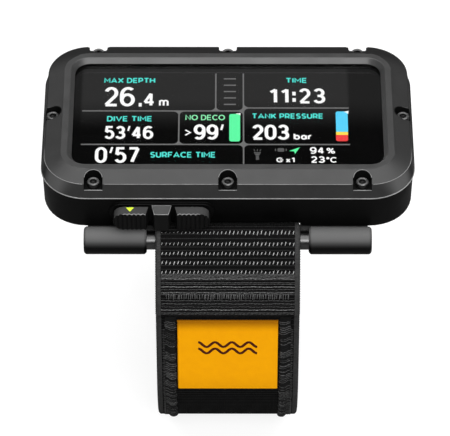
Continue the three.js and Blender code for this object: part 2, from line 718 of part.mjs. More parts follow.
// A lug is a barrel for the end of a strap bar and a foot that is screwed under the housing.
// signX and signY say which corner of the case it belongs to.
function lug(signX, signY) {
  const half = (LUG_OUTER_X - LUG_INNER_X) / 2;
  const profile = [
    [0, -half],
    [LUG_RADIUS - LUG_END_ROUND, -half],
    [LUG_RADIUS, LUG_END_ROUND - half],
    [LUG_RADIUS, half - LUG_END_ROUND],
    [LUG_RADIUS - LUG_END_ROUND, half],
    [0, half],
  ].map(([radius, height]) => new THREE.Vector2(radius, height));
  const barrel = new THREE.LatheGeometry(profile, LUG_STEPS);
  barrel.rotateZ(Math.PI / 2);
  barrel.translate(signX * (LUG_INNER_X + half), signY * BAR_Y, 0);
  const boreRadius = BAR_RADIUS + GAP;
  const boreLength = LUG_BORE_END_X;
  const bore = new THREE.CylinderGeometry(boreRadius, boreRadius, boreLength, ROUND_STEPS);
  bore.rotateZ(Math.PI / 2);
  bore.translate(signX * (LUG_BORE_END_X - boreLength / 2), signY * BAR_Y, 0);
  const foot = block(
    signX * LUG_FOOT_INNER_X,
    signX * (LUG_OUTER_X - 1),
    signY * BAR_Y,
    signY * LUG_FOOT_INNER_Y,
    LUG_FOOT_BOTTOM,
    HOUSING_BOTTOM - GAP,
  );
  const x = signX * LUG_SCREW_X;
  const y = signY * LUG_SCREW_Y;
  const hole = discZ(SCREW_SHANK_RADIUS + GAP, x, y, -1, HOUSING_BOTTOM, HOLE_STEPS);
  const seat = discZ(SCREW_HEAD_RADIUS + GAP, x, y, -1, LOW_HEAD_SEAT);
  return cut(join(solid(barrel), foot), solid(bore), hole, seat);
}

function strapBar(y) {
  const end = 0.5;
  const half = LUG_BORE_END_X - GAP;
  const profile = [
    [0, -half],
    [BAR_RADIUS - end, -half],
    [BAR_RADIUS, -half + end],
    [BAR_RADIUS, half - end],
    [BAR_RADIUS - end, half],
    [0, half],
  ].map(([radius, height]) => new THREE.Vector2(radius, height));
  const geometry = new THREE.LatheGeometry(profile, ROUND_STEPS);
  geometry.rotateZ(Math.PI / 2);
  geometry.translate(0, y, 0);
  return geometry;
}

// ---- strap --------------------------------------------------------------------------------

// Points of a cubic curve from one place and heading to another; both headings point forwards.
function blendCurve(start, startHeading, startPull, end, endHeading, endPull, steps) {
  const first = start.clone().addScaledVector(startHeading, startPull);
  const second = end.clone().addScaledVector(endHeading, -endPull);
  return new THREE.CubicBezierCurve(start, first, second, end).getPoints(steps);
}

function arcPoints(centreY, centreZ, radius, fromDegrees, toDegrees, steps) {
  const points = [];
  for (let step = 0; step <= steps; step += 1) {
    const angle = THREE.MathUtils.degToRad(fromDegrees + (toDegrees - fromDegrees) * step / steps);
    points.push(new THREE.Vector2(centreY + radius * Math.cos(angle), centreZ + radius * Math.sin(angle)));
  }
  return points;
}

// Centre line of the webbing at one bar, drawn at the front: it starts at the loose end of the
// outer layer, climbs to the bar, passes over it and comes down behind as the inner layer.
function foldLine(layerStep, endZ) {
  const radius = BAR_RADIUS + GAP + STRAP_THICKNESS / 2;
  const arc = arcPoints(-BAR_Y, 0, radius, 180 - OUTER_LEAN, -INNER_LEAN, 12);
  const heading = (degrees, sign) => {
    const angle = THREE.MathUtils.degToRad(degrees);
    return new THREE.Vector2(sign * Math.sin(angle), sign * Math.cos(angle));
  };
  const up = new THREE.Vector2(0, 1);
  const down = new THREE.Vector2(0, -1);
  const outerMeet = new THREE.Vector2(-LOOP_RADIUS - layerStep, MEET_Z);
  const innerMeet = new THREE.Vector2(-LOOP_RADIUS, MEET_Z - 2);
  const outer = blendCurve(outerMeet, up, 6, arc[0], heading(OUTER_LEAN, 1), 7, 8);
  const inner = blendCurve(arc[arc.length - 1], heading(INNER_LEAN, -1), 7, innerMeet, down, 10.5, 8);
  const end = endZ < MEET_Z ? [new THREE.Vector2(-LOOP_RADIUS - layerStep, endZ)] : [];
  return [...end, ...outer, ...arc.slice(1, -1), ...inner];
}

// A flat band seen from the side: a centre line thickened by the same amount on both sides.
function bandShape(line, thickness) {
  const left = [];
  const right = [];
  line.forEach((point, place) => {
    const before = line[Math.max(place - 1, 0)];
    const after = line[Math.min(place + 1, line.length - 1)];
    const along = after.clone().sub(before).normalize();
    const across = new THREE.Vector2(-along.y, along.x).multiplyScalar(thickness / 2);
    left.push(point.clone().add(across));
    right.unshift(point.clone().sub(across));
  });
  return new THREE.Shape([...left, ...right]);
}

function strap() {
  const front = foldLine(LAYER_STEP, MEET_Z);
  const rear = foldLine(REAR_LAYER_STEP, REAR_END_Z)
    .map((point) => new THREE.Vector2(-point.x, point.y))
    .reverse();
  const under = arcPoints(0, LOOP_ARC_Z, LOOP_RADIUS, 180, 360, 28);
  const outline = bandShape([...front, ...under, ...rear], STRAP_THICKNESS);
  return sidePlate(outline, -STRAP_HALF_WIDTH, STRAP_HALF_WIDTH);
}

// A strip on the outside of the webbing, from topZ at the front down and under by sweep degrees.
function outerStrip(centreX, width, thickness, topZ, sweep, steps) {
  const radius = LOOP_RADIUS + STRAP_THICKNESS / 2 + GAP + thickness / 2;
  const arc = arcPoints(0, LOOP_ARC_Z, radius, 180, 180 + sweep, steps);
  const shape = bandShape([new THREE.Vector2(-radius, topZ), ...arc], thickness);
  return sidePlate(shape, centreX - width / 2, centreX + width / 2);
}

function hookPatch() {
  const innerY = LOOP_RADIUS + STRAP_THICKNESS / 2 + GAP;
  const half = STRAP_HALF_WIDTH - HOOK_MARGIN;
  return block(-half, half, innerY, innerY + HOOK_THICKNESS, HOOK_BOTTOM_Z, HOOK_TOP_Z);
}

function pullTab() {
  const top = REAR_END_Z - GAP;
  const centreY = LOOP_RADIUS + REAR_LAYER_STEP;
  const shape = roundedRectangle(STRAP_HALF_WIDTH - 2, TAB_LENGTH / 2, 3, 0, top - TAB_LENGTH / 2);
  return frontPlate(shape, centreY - TAB_THICKNESS / 2, centreY + TAB_THICKNESS / 2);
}

// ---- assembly -----------------------------------------------------------------------------

const group = new THREE.Group();

function add(name, shape, look) {
  const geometry = shape.isBufferGeometry ? shape : geometryOf(shape);
  const mesh = new THREE.Mesh(geometry, look);
  mesh.name = name;
  group.add(mesh);
  return mesh;
}

function addCase() {
  add('housing', housing(), blackPolymer);
  add('bezel', bezel(), satinMetal);
  add('lens', lens(), lensGlass);
  add('lens_gasket', lensGasket(), sealRubber);
  add('display_panel', displayPanel(), displayStack);
  add('display_carrier', displayCarrier(), blackPolymer);
  add('back_cover', backCover(), blackPolymer);
  add('back_gasket', sealRing(SEAL_WIDTH / 2, SEAL_BOTTOM, SEAL_TOP), sealRubber);
}

function addElectronics() {
  add('main_board', mainBoard(), boardGreen);
  add('battery', battery(), cellFoil);
  add('vibration_motor', vibrationMotor(), springSteel);
  add('pressure_sensor', pressureSensor(), barSteel);
  add('sensor_cover', sensorCover(), lugMetal);
  add('button_board', buttonBoard(), boardGreen);
  CONTACT_X.forEach((x, place) => {
    add(`charge_contact_${place + 1}`, chargeContact(x), goldPlate);
  });
}

function addScrews() {
  bezelScrewPlaces().forEach(([x, y], place) => {
    const head = add(`bezel_screw_${place + 1}`, screw(SCREW_HEAD_HEIGHT, SCREW_SHANK_LENGTH), blackScrew);
    head.position.set(x, y, NOTCH_FLOOR + GAP / 2);
  });
  coverScrewPlaces().forEach(([x, y], place) => {
    const head = add(`cover_screw_${place + 1}`, screw(LOW_HEAD_HEIGHT, COVER_SCREW_LENGTH), blackScrew);
    head.position.set(x, y, LOW_HEAD_BASE);
    head.rotation.x = Math.PI;
  });
  lugPlaces().forEach(({ x, y }, place) => {
    const head = add(`lug_screw_${place + 1}`, screw(LOW_HEAD_HEIGHT, LUG_SCREW_LENGTH), blackScrew);
    head.position.set(x, y, LOW_HEAD_BASE);
    head.rotation.x = Math.PI;
  });
}

function addButtons() {
  const sides = ['left', 'centre', 'right'];
  const caps = [lobe(-1), key(), lobe(1)];
  buttonPlaces().forEach((x, place) => {
    add(`button_${sides[place]}`, caps[place], buttonMetal);
    add(`button_clip_${sides[place]}`, stemClip(x), springSteel);
    add(`button_spring_${sides[place]}`, returnSpring(x), springSteel);
    add(`button_ring_${sides[place]}`, stemRing(x), sealRubber);
    add(`switch_${sides[place]}`, tactSwitch(x), springSteel);
  });
}

function addStrap() {
  const corners = ['front_left', 'front_right', 'rear_right', 'rear_left'];
  QUARTERS.forEach(([signX, signY], place) => {
    add(`lug_${corners[place]}`, lug(signX, signY), lugMetal);
  });
  add('strap_bar_front', strapBar(-BAR_Y), barSteel);
  add('strap_bar_rear', strapBar(BAR_Y), barSteel);
  add('strap', strap(), webbing);
  add('strap_rib_left', outerStrip(-RIB_X, RIB_WIDTH, RIB_THICKNESS, RIB_TOP_Z, RIB_SWEEP, 28), webbing);
  add('strap_rib_right', outerStrip(RIB_X, RIB_WIDTH, RIB_THICKNESS, RIB_TOP_Z, RIB_SWEEP, 28), webbing);
  add('strap_label', outerStrip(0, LABEL_WIDTH, LABEL_THICKNESS, LABEL_TOP_Z, LABEL_SWEEP, 4), labelFabric);
  add('hook_patch', hookPatch(), webbing);
  add('pull_tab', pullTab(), sealRubber);
}

addCase();
addElectronics();
addScrews();
addButtons();
addStrap();

export default group;
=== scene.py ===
"""Looks of a wrist-worn dive computer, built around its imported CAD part."""

import random
from math import copysign, cos, hypot, pi, radians, sin, tan

import bmesh
import bpy
import numpy as np
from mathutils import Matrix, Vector


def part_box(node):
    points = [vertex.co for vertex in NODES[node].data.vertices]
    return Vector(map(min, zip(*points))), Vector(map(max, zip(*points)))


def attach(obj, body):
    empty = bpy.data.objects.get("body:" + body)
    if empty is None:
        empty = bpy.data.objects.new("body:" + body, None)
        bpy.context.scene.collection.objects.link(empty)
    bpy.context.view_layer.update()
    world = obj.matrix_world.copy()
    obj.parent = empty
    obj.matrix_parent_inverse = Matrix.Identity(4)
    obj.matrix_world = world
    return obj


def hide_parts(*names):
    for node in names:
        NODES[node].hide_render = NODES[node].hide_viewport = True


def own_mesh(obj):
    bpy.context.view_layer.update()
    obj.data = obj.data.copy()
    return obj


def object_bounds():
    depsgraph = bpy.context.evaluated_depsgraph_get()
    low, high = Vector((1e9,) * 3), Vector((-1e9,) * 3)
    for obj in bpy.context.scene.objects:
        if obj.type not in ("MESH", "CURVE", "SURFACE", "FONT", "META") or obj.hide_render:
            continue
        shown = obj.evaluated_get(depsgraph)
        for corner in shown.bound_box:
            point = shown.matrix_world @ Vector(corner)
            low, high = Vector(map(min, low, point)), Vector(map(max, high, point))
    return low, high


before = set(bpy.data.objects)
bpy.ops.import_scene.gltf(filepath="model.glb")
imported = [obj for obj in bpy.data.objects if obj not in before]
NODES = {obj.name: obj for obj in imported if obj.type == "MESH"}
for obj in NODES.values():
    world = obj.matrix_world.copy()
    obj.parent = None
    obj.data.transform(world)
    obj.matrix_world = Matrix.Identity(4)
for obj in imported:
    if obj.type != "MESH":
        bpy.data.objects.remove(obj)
cad_low, cad_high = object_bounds()

MM = 0.001
SCENE = bpy.context.scene

# ---- sizes shared with the CAD part, in millimetres -----------------------------------------

CASE_HALF_X = 52.5
CASE_HALF_Y = 30
CASE_CORNER = 12.8
BEZEL_BOTTOM = 13.1
BEZEL_SHOULDER = 17.8
BEZEL_RIDGE = 19.5
SHOULDER_INSET = 0.97
RIDGE_OUTER_INSET = 5.67
SCREW_INSET = 2.75
SCREW_SPREAD = 37.5
NOTCH_RADIUS = 2.55
BAR_Y = 33.06
BAR_RADIUS = 2.62
LUG_RADIUS = 3.94
LUG_FOOT_INNER_X = 20.7
GAP = 0.3
STRAP_HALF_WIDTH = 20.1
STRAP_THICKNESS = 2
LOOP_RADIUS = 43
LOOP_ARC_Z = -42.2
LAYER_STEP = STRAP_THICKNESS + GAP
REAR_LAYER_STEP = LAYER_STEP + 1.2 + GAP
MEET_Z = -17
OUTER_LEAN = 36
INNER_LEAN = 62
REAR_END_Z = -40
RIB_X = 16.3
RIB_WIDTH = 3.2
RIB_TOP_Z = -19.5
RIB_SWEEP = 172
LABEL_WIDTH = 28.6
LABEL_TOP_Z = -20.6
LABEL_SWEEP = 8.6
PANEL_TOP = 15.25
NOTCH_FLOOR = 15.9
HEAD_RADIUS = 1.8
SHANK_RADIUS = 1
COVER_HEAD_BASE = 1.05

# ---- camera and light -----------------------------------------------------------------------

TARGET = Vector((0, 0, 0.017))
CAMERA_DISTANCE = 0.9965
CAMERA_ELEVATION = radians(42.19)
CAMERA_DIP = radians(1.661)  # the case sits above the middle of the picture
CAMERA_YAW = radians(0.0453)
CAMERA_LENS = 280.24

# ---- small helpers --------------------------------------------------------------------------


def linear(code):
    """Linear colour of a six-digit display colour."""
    parts = [int(code[place:place + 2], 16) / 255 for place in (0, 2, 4)]
    return tuple(p / 12.92 if p <= 0.04045 else ((p + 0.055) / 1.055) ** 2.4 for p in parts)


def grey(level):
    return (level, level, level)


def coat(mesh, materials):
    """Gives a mesh one material or a list of them."""
    for material in materials if isinstance(materials, list) else [materials]:
        mesh.materials.append(material)


class Shape:
    """Points in millimetres and faces, collected from several simple solids."""

    def __init__(self):
        self.points = []
        self.faces = []
        self.slots = []

    def add(self, points, faces):
        start = len(self.points)
        self.points.extend(tuple(point) for point in points)
        self.faces.extend(tuple(start + corner for corner in face) for face in faces)
        self.slots.extend([0] * len(faces))
        return self

    def thread(self, path, radius, sides=6, up=(0, 0, 1)):
        return self.add(*tube(path, radius, sides, up))

    def piece(self, name, materials, body="case", slot=None, stands_for=(), smooth=True):
        mesh = bpy.data.meshes.new(name)
        mesh.from_pydata((np.array(self.points, float) * MM).tolist(), [], self.faces)
        coat(mesh, materials)
        mesh.polygons.foreach_set("material_index", self.slots)
        mesh.polygons.foreach_set("use_smooth", [smooth] * len(mesh.polygons))
        mesh.update()
        return place_piece(name, mesh, body, stands_for)


def place_piece(name, mesh, body, stands_for):
    obj = bpy.data.objects.new(name, mesh)
    SCENE.collection.objects.link(obj)
    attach(obj, body)
    if stands_for:
        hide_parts(*stands_for)
    return obj


def band(low, high, count):
    """Faces between two rings of points; low and high are where the rings start."""
    return [(low + k, low + (k + 1) % count, high + (k + 1) % count, high + k) for k in range(count)]


def prism(outline, bottom, top):
    """Points and faces of a flat outline with a thickness."""
    count = len(outline)
    points = [(x, y, z) for z in (bottom, top) for x, y in outline]
    return points, [tuple(reversed(range(count))), tuple(range(count, 2 * count)), *band(0, count, count)]


def on_arc(radius, angle):
    return radius * cos(angle), radius * sin(angle)


def side_name(side):
    return "left" if side < 0 else "right"


def bevelled(obj, width, angle, segments=2, clamp=False):
    edge = obj.modifiers.new("edge", "BEVEL")
    edge.width = width * MM
    edge.segments = segments
    edge.limit_method = "ANGLE"
    edge.angle_limit = radians(angle)
    edge.use_clamp_overlap = clamp
    edge.harden_normals = True


def tube(path, radius, sides, up):
    """Points and faces of a closed round thread along path; radius may vary along it."""
    path = np.array(path, float)
    count = len(path)
    radii = np.broadcast_to(np.array(radius, float), (count,))
    heading = np.gradient(path, axis=0)
    heading /= np.linalg.norm(heading, axis=1)[:, None] + 1e-12
    up = np.broadcast_to(np.array(up, float), (count, 3))
    across = np.cross(heading, up)
    across /= np.linalg.norm(across, axis=1)[:, None] + 1e-12
    lift = np.cross(across, heading)
    points = []
    for place in range(count):
        for side in range(sides):
            angle = 2 * pi * side / sides
            offset = across[place] * cos(angle) + lift[place] * sin(angle)
            points.append(path[place] + offset * radii[place])
    faces = []
    for place in range(count - 1):
        low, high = place * sides, (place + 1) * sides
        for side in range(sides):
            after = (side + 1) % sides
            faces.append((low + side, high + side, high + after, low + after))
    faces.append(tuple(range(sides)))
    faces.append(tuple(reversed(range((count - 1) * sides, count * sides))))
    return points, faces


# ---- materials ------------------------------------------------------------------------------


NOISE_SPAN = (0.32, 0.68)
WAVE_BAND = 0.314  # width of one band of a wave texture at scale 1


class Surface:
    """A Principled material whose colour, roughness and relief vary with the place on the object.

    The colour is linear: three numbers, or one for a grey.
    """

    def __init__(self, name, color, roughness, vary=0.15, patch=5.0, grain=0.2, rough_vary=0.06,
                 relief=0.01, metallic=0.0, specular=0.5):
        self.material = bpy.data.materials.new(name)
        self.material.use_nodes = True
        self.nodes = self.material.node_tree.nodes
        self.links = self.material.node_tree.links
        self.bsdf = self.nodes["Principled BSDF"]
        self.set("Metallic", metallic)
        self.set("Specular IOR Level", specular)
        self.place = self.nodes.new("ShaderNodeTexCoord").outputs["Object"]
        self.broad = self.noise(patch, 2)
        self.fine = self.noise(grain, 3)
        halves = [self.math("MULTIPLY", noise, 0.5) for noise in (self.broad, self.fine)]
        mixed = self.math("ADD", *halves)
        color = color if isinstance(color, tuple) else grey(color)
        dark = [c * (1 - vary) for c in color]
        light = [min(c * (1 + vary), 1) for c in color]
        self.color = self.blend(self.rescale(mixed, *NOISE_SPAN, 0, 1), dark, light)
        self.join(self.color, "Base Color")
        low, high = max(roughness - rough_vary, 0), min(roughness + rough_vary, 1)
        self.join(self.rescale(mixed, *NOISE_SPAN, low, high), "Roughness")
        self.height = self.fine
        self.relief = relief

    def node(self, kind, **settings):
        made = self.nodes.new(kind)
        for key, value in settings.items():
            setattr(made, key, value)
        return made

    def feed(self, socket, value):
        if isinstance(value, bpy.types.NodeSocket):
            self.links.new(value, socket)
        else:
            socket.default_value = value

    def noise(self, size, detail):
        made = self.node("ShaderNodeTexNoise")
        self.links.new(self.place, made.inputs["Vector"])
        made.inputs["Scale"].default_value = 1 / (size * MM)
        made.inputs["Detail"].default_value = detail
        return made.outputs["Fac"]

    def wave(self, direction, size, distortion=0.0):
        made = self.node("ShaderNodeTexWave", bands_direction=direction)
        self.links.new(self.place, made.inputs["Vector"])
        made.inputs["Scale"].default_value = WAVE_BAND / (size * MM)
        made.inputs["Distortion"].default_value = distortion
        return made.outputs["Fac"]

    def math(self, operation, first, second):
        made = self.node("ShaderNodeMath", operation=operation)
        self.feed(made.inputs[0], first)
        self.feed(made.inputs[1], second)
        return made.outputs[0]

    def rescale(self, value, low, high, to_low, to_high):
        made = self.node("ShaderNodeMapRange", interpolation_type="SMOOTHSTEP")
        for place, number in enumerate((value, low, high, to_low, to_high)):
            self.feed(made.inputs[place], number)
        return made.outputs[0]

    def fade(self, letter, start, end, low=0.0, high=1.0):
        """Goes smoothly from low to high between two places along an axis, in millimetres."""
        made = self.node("ShaderNodeSeparateXYZ")
        self.links.new(self.place, made.inputs[0])
        return self.rescale(made.outputs[letter], start * MM, end * MM, low, high)

    def blend(self, share, first, second):
        made = self.node("ShaderNodeMix", data_type="RGBA")
        self.feed(made.inputs[0], share)
        for socket, color in ((made.inputs[6], first), (made.inputs[7], second)):
            self.feed(socket, color if isinstance(color, bpy.types.NodeSocket) else (*color, 1))
        return made.outputs[2]

    def join(self, output, socket):
        self.links.new(output, self.bsdf.inputs[socket])

    def set(self, socket, value):
        self.bsdf.inputs[socket].default_value = value

    def done(self):
        bump = self.node("ShaderNodeBump")
        bump.inputs["Distance"].default_value = self.relief * MM
        self.feed(bump.inputs["Height"], self.height)
        self.join(bump.outputs[0], "Normal")
        return self.material


def plain(name, color, roughness, **settings):
    return Surface(name, color, roughness, **settings).done()


def woven(name, color, roughness, pitch, relief, **settings):
    """Threads that run across X, with fibre grain."""
    cloth = Surface(name, color, roughness, relief=relief, **settings)
    threads = cloth.wave("X", pitch, 0.6)
    cloth.height = cloth.math("ADD", threads, cloth.math("MULTIPLY", cloth.fine, 0.6))
    return cloth.done()


def glowing(name, color, strength):
    """A lit part of the screen, with the faint unevenness of its picture cells."""
    lit = Surface(name, 0.0, 0.5, vary=0.0)
    cells = lit.wave("X", 0.2)
    lit.join(lit.blend(cells, [c * 0.97 for c in color], color), "Emission Color")
    lit.set("Emission Strength", strength)
    return lit.done()


def screen_glass():
    glass = Surface("screen_glass", 0.97, 0.012, vary=0.01, rough_vary=0.008, relief=0.0)
    glass.set("Transmission Weight", 1)
    glass.set("IOR", 1.5)
    return glass.done()


def screen_background():
    """Black panel whose upper third glows a faint grey."""
    panel = Surface("screen_background", 0.0005, 0.4, vary=0.1, specular=0.0)
    fade = panel.fade("Y", -6, 9)
    left = panel.fade("X", -42.5, -41.2, 0.45, 1)
    right = panel.fade("X", 33.8, 35.2, 1, 0.5)
    share = panel.math("MULTIPLY", fade, panel.math("MULTIPLY", left, right))
    panel.join(panel.blend(share, grey(0.0002), grey(0.029)), "Emission Color")
    panel.set("Emission Strength", 1)
    return panel.done()


LABEL_ORANGE = (1.0, 0.41, 0.0018)
LABEL_SHADE = (0.2, 0.055, 0.002)


def label_fabric():
    """Tight flat weave, dyed bright orange, with a painted shadow where it tucks under the fold."""
    cloth = Surface("label_fabric", LABEL_ORANGE, 0.75, vary=0.04, patch=3.0, grain=0.15, relief=0.02,
                    specular=0.04)
    # Painted shadow: the orange darkens towards the label's top edge, under the fold.
    shaded = cloth.fade("Z", LABEL_TOP_Z - 4.6, LABEL_TOP_Z + 0.6, 0.0, 0.8)
    cloth.join(cloth.blend(shaded, cloth.color, LABEL_SHADE), "Base Color")
    weave = cloth.math("MULTIPLY", cloth.wave("X", 0.32, 0.4), cloth.wave("Z", 0.32, 0.4))
    cloth.height = cloth.math("ADD", weave, cloth.math("MULTIPLY", cloth.fine, 0.5))
    return cloth.done()


def faded(name, axis, start, end, first, second, roughness, **settings):
    """A grey that turns into another grey between two places along an axis, used here for painted light and
    shade.
    """
    paint = Surface(name, first, roughness, **settings)
    paint.join(paint.blend(paint.fade(axis, start, end), paint.color, grey(second)), "Base Color")
    return paint.done()


SATIN = {"vary": 0.12, "grain": 0.12, "relief": 0.004}
# Noise settings for the painted edge highlights.
GLINT_GRAIN = {"vary": 0.25, "patch": 3.0, "grain": 0.2, "relief": 0.004}
BACK_SLOPE = (14, 26)
FRONT_CORNER = (-29.2, -26.5)
WALL_SIDE = (-24.5, -20.5)


def bezel_coating():
    """Satin black, with painted shade on the slope at the back, where it is also rougher."""
    paint = Surface("satin_black_metal", 0.026, 0.36, specular=0.36, **SATIN)
    # Painted shade: the base colour goes nearly black towards the back slope.
    paint.join(paint.blend(paint.fade("Y", *BACK_SLOPE), paint.color, grey(0.002)), "Base Color")
    paint.join(paint.fade("Y", *BACK_SLOPE, 0.36, 0.9), "Roughness")
    return paint.done()


def wall_coating():
    """The same black on the upright sides, with a painted highlight round the front corners and painted shade
    along the sides further back.
    """
    paint = Surface("satin_black_wall", 0.028, 0.45, specular=0.05, **SATIN)
    # Painted highlight: a paler base colour round the front corners.
    front = paint.blend(paint.fade("Y", *FRONT_CORNER), paint.color, grey(0.095))
    # Painted shade: the sides go darker behind the front corners.
    paint.join(paint.blend(paint.fade("Y", *WALL_SIDE), front, grey(0.004)), "Base Color")
    return paint.done()


def case_materials():
    return {
        "bezel": bezel_coating(),
        "wall": wall_coating(),
        "lip": plain("satin_black_lip", 0.04, 0.4, specular=0.42, **SATIN),
        # Painted highlight for the buttons' top edges.
        "worn": plain("painted_edge_highlight", 0.2, 0.4, **GLINT_GRAIN),
        # Painted highlight for the bezel's edge lines, bright at the front and fading out towards the back.
        "edge": faded("painted_edge_glint", "Y", -22, -12, 0.24, 0.02, 0.4, specular=0.08, **GLINT_GRAIN),
        # Painted shade: a near-black copy of the bezel coating for notches, inner walls and the underside.
        "recess": plain("recess_painted_shade", 0.0025, 0.55, vary=0.2, specular=0.1),
        "housing": plain("black_polymer", 0.0016, 0.5, vary=0.2, grain=0.15, relief=0.006,
                         specular=0.08),
        "cover": plain("cover_polymer", 0.012, 0.55, vary=0.2),
        # Painted light and shade: paler on top of the barrel, near black from the middle of the side down.
        "lug": faded("lug_coating", "Z", 0.1 * LUG_RADIUS, 1.05 * LUG_RADIUS, 0.0015, 0.105, 0.45,
                     vary=0.1, grain=0.15, relief=0.005, specular=0.08),
        "screw": plain("black_oxide", 0.012, 0.3, vary=0.3, patch=1.0, metallic=0.6),
        # Painted highlight on the ring round each screw's socket.
        "screw_rim": plain("screw_rim_highlight_paint", 0.09, 0.35, vary=0.35, patch=0.8, metallic=0.5),
        "bar": plain("brushed_steel", 0.08, 0.34, metallic=1.0, relief=0.004),
        "spring": plain("spring_steel", 0.5, 0.3, vary=0.1, metallic=1.0),
        "button": plain("button_coating", 0.04, 0.4, specular=0.3, **SATIN),
        "key": plain("key_coating", 0.058, 0.4, specular=0.3, **SATIN),
        # Painted shade: a darker copy of the button coating for every face but the top.
        "button_face_shade": plain("button_face_painted_shade", 0.005, 0.6, vary=0.2, grain=0.12, relief=0.006, specular=0.08),
        "rubber": plain("seal_rubber", 0.008, 0.75, vary=0.2),
        "board": plain("circuit_board", (0.01, 0.06, 0.03), 0.4, vary=0.4, patch=2.0),
        "foil": plain("cell_foil", 0.5, 0.35, vary=0.1, metallic=0.9, relief=0.02),
        "gold": plain("gold_plate", (0.8, 0.52, 0.2), 0.25, vary=0.08, metallic=1.0),
        "marker": plain("marker_paint", linear("c8e03a"), 0.5, vary=0.06, specular=0.1),
        "glass": screen_glass(),
        "screen": screen_background(),
    }


def strap_materials():
    """Cloths with threads say their thread pitch and relief after the roughness."""
    return {
        "webbing": woven("webbing_black", 0.0028, 0.85, 0.55, 0.06, vary=0.3, patch=2.0, specular=0.06),
        # Painted highlight: a lighter copy of the webbing on the thread crests, in place of their sheen.
        "crest": woven("webbing_crest", 0.012, 0.75, 0.45, 0.05, vary=0.5, patch=1.2, specular=0.1),
        "selvedge": woven("webbing_edge", 0.028, 0.7, 0.4, 0.05, vary=0.4, patch=1.0, specular=0.2),
        "rib": woven("rib_weave", 0.006, 0.7, 0.35, 0.05, vary=0.3, patch=1.5, specular=0.1),
        # The crimp crests are lighter: partly a lighter thread, partly a painted highlight.
        "rib_crest": woven("rib_weave_crest", 0.068, 0.65, 0.35, 0.05, vary=0.6, patch=1.0,
                           specular=0.2),
        "float": plain("reflective_yarn", 0.3, 0.5, vary=0.35, patch=1.2, relief=0.02),
        "cord_light": plain("cord_light", 0.1, 0.6, vary=0.55, patch=0.8, relief=0.02),
        "cord_dim": plain("cord_dim", 0.026, 0.6, vary=0.6, patch=0.8, relief=0.02),
        "tack": plain("tack_thread", 0.055, 0.6, vary=0.5, patch=0.7, relief=0.02),
        "label": label_fabric(),
        "ink": plain("label_ink", linear("4a1c10"), 0.6, vary=0.2, specular=0.05),
        "hook": plain("hook_fabric", 0.012, 0.8, vary=0.4, grain=0.4, relief=0.2),
        "tab": plain("tab_rubber", 0.014, 0.6, vary=0.2, grain=0.3, relief=0.02),
    }


BRIGHT = 1.12
BRIGHT_COLORS = {"white": "ffffff", "teal": "4fe3d6", "mint": "8ff0b4", "green": "5cfca6", "blue": "55d5ff",
                 "yellow": "ffe24a", "red": "f23a3a"}
DIM_COLORS = {"line": "757575", "faint": "5c5c5c"}


def screen_materials():
    lit = {}
    for colors, strength in ((BRIGHT_COLORS, BRIGHT), (DIM_COLORS, 1)):
        lit |= {name: glowing(f"screen_{name}", linear(code), strength) for name, code in colors.items()}
    return lit


# ---- finer copies of CAD nodes --------------------------------------------------------------


def cleaned(node):
    """A working copy of a CAD node's mesh with its flat faces joined up."""
    source = NODES[node].data
    work = bmesh.new()
    places = [work.verts.new(vertex.co) for vertex in source.vertices]
    for polygon in source.polygons:
        work.faces.new([places[corner] for corner in polygon.vertices])
    bmesh.ops.remove_doubles(work, verts=work.verts, dist=1e-6)
    bmesh.ops.dissolve_limit(work, angle_limit=radians(1), verts=work.verts, edges=work.edges)
    work.normal_update()
    return work


def refined(node, name, materials, bevel=0.15, angle=15, segments=2, body="case", choose=None,
            fit=None):
    """A copy of a CAD node with its edges rounded over, shown instead of the node."""
    work = cleaned(node)
    if fit:
        for corner in work.verts:
            corner.co = fit(corner.co)
    for face in work.faces:
        face.smooth = True
        if choose:
            face.material_index = choose(face.calc_center_median() / MM, face.normal)
    mesh = bpy.data.meshes.new(name)
    work.to_mesh(mesh)
    work.free()
    coat(mesh, materials)
    bevelled(place_piece(name, mesh, body, [node]), bevel, angle, segments)


def dress(node, material):
    """A CAD node that stays as it is, with a finished material."""
    slots = NODES[node].material_slots
    slots[0].link = "OBJECT"
    slots[0].material = material


def bezel_finish(centre, normal):
    """0 on the outer slope, 1 on the ridge and inside it, 2 in notches and underneath, 3 on the wall."""
    if normal.z < 0.05 or (normal.z > 0.95 and centre.z < BEZEL_SHOULDER):
        return 2
    inward = normal.x * centre.x + normal.y * centre.y < -0.1
    if normal.z < 0.5 and not inward:
        return 3
    return 1 if inward or normal.z > 0.95 else 0


PLAIN_NODES = {
    "lens": "glass",
    "display_panel": "screen",
    "display_carrier": "housing",
    "lens_gasket": "rubber",
    "back_gasket": "rubber",
    "main_board": "board",
    "button_board": "board",
    "battery": "foil",
    "vibration_motor": "spring",
    "pressure_sensor": "bar",
}


def case_pieces(look):
    refined("bezel", "bezel_shell", [look["bezel"], look["lip"], look["recess"], look["wall"]],
            bevel=0.22, segments=3, choose=bezel_finish)
    refined("housing", "housing_shell", look["housing"], bevel=0.25, angle=25)
    refined("back_cover", "back_cover_plate", look["cover"], angle=25)
    refined("sensor_cover", "sensor_grille", look["lip"], bevel=0.08, angle=50)
    for number in (1, 2):
        refined(f"charge_contact_{number}", f"contact_pin_{number}", look["gold"], angle=50)
    for node, finish in PLAIN_NODES.items():
        dress(node, look[finish])


EDGE_LINE = 0.11
FOOT_BEAD = 0.17
CORNER_STEPS = 24
SIDE_STEPS = 120
NOTCH_CLEARANCE = 0.05
NOTCH_STEPS = 24
MOUTH_REACH = SCREW_INSET - 0.58


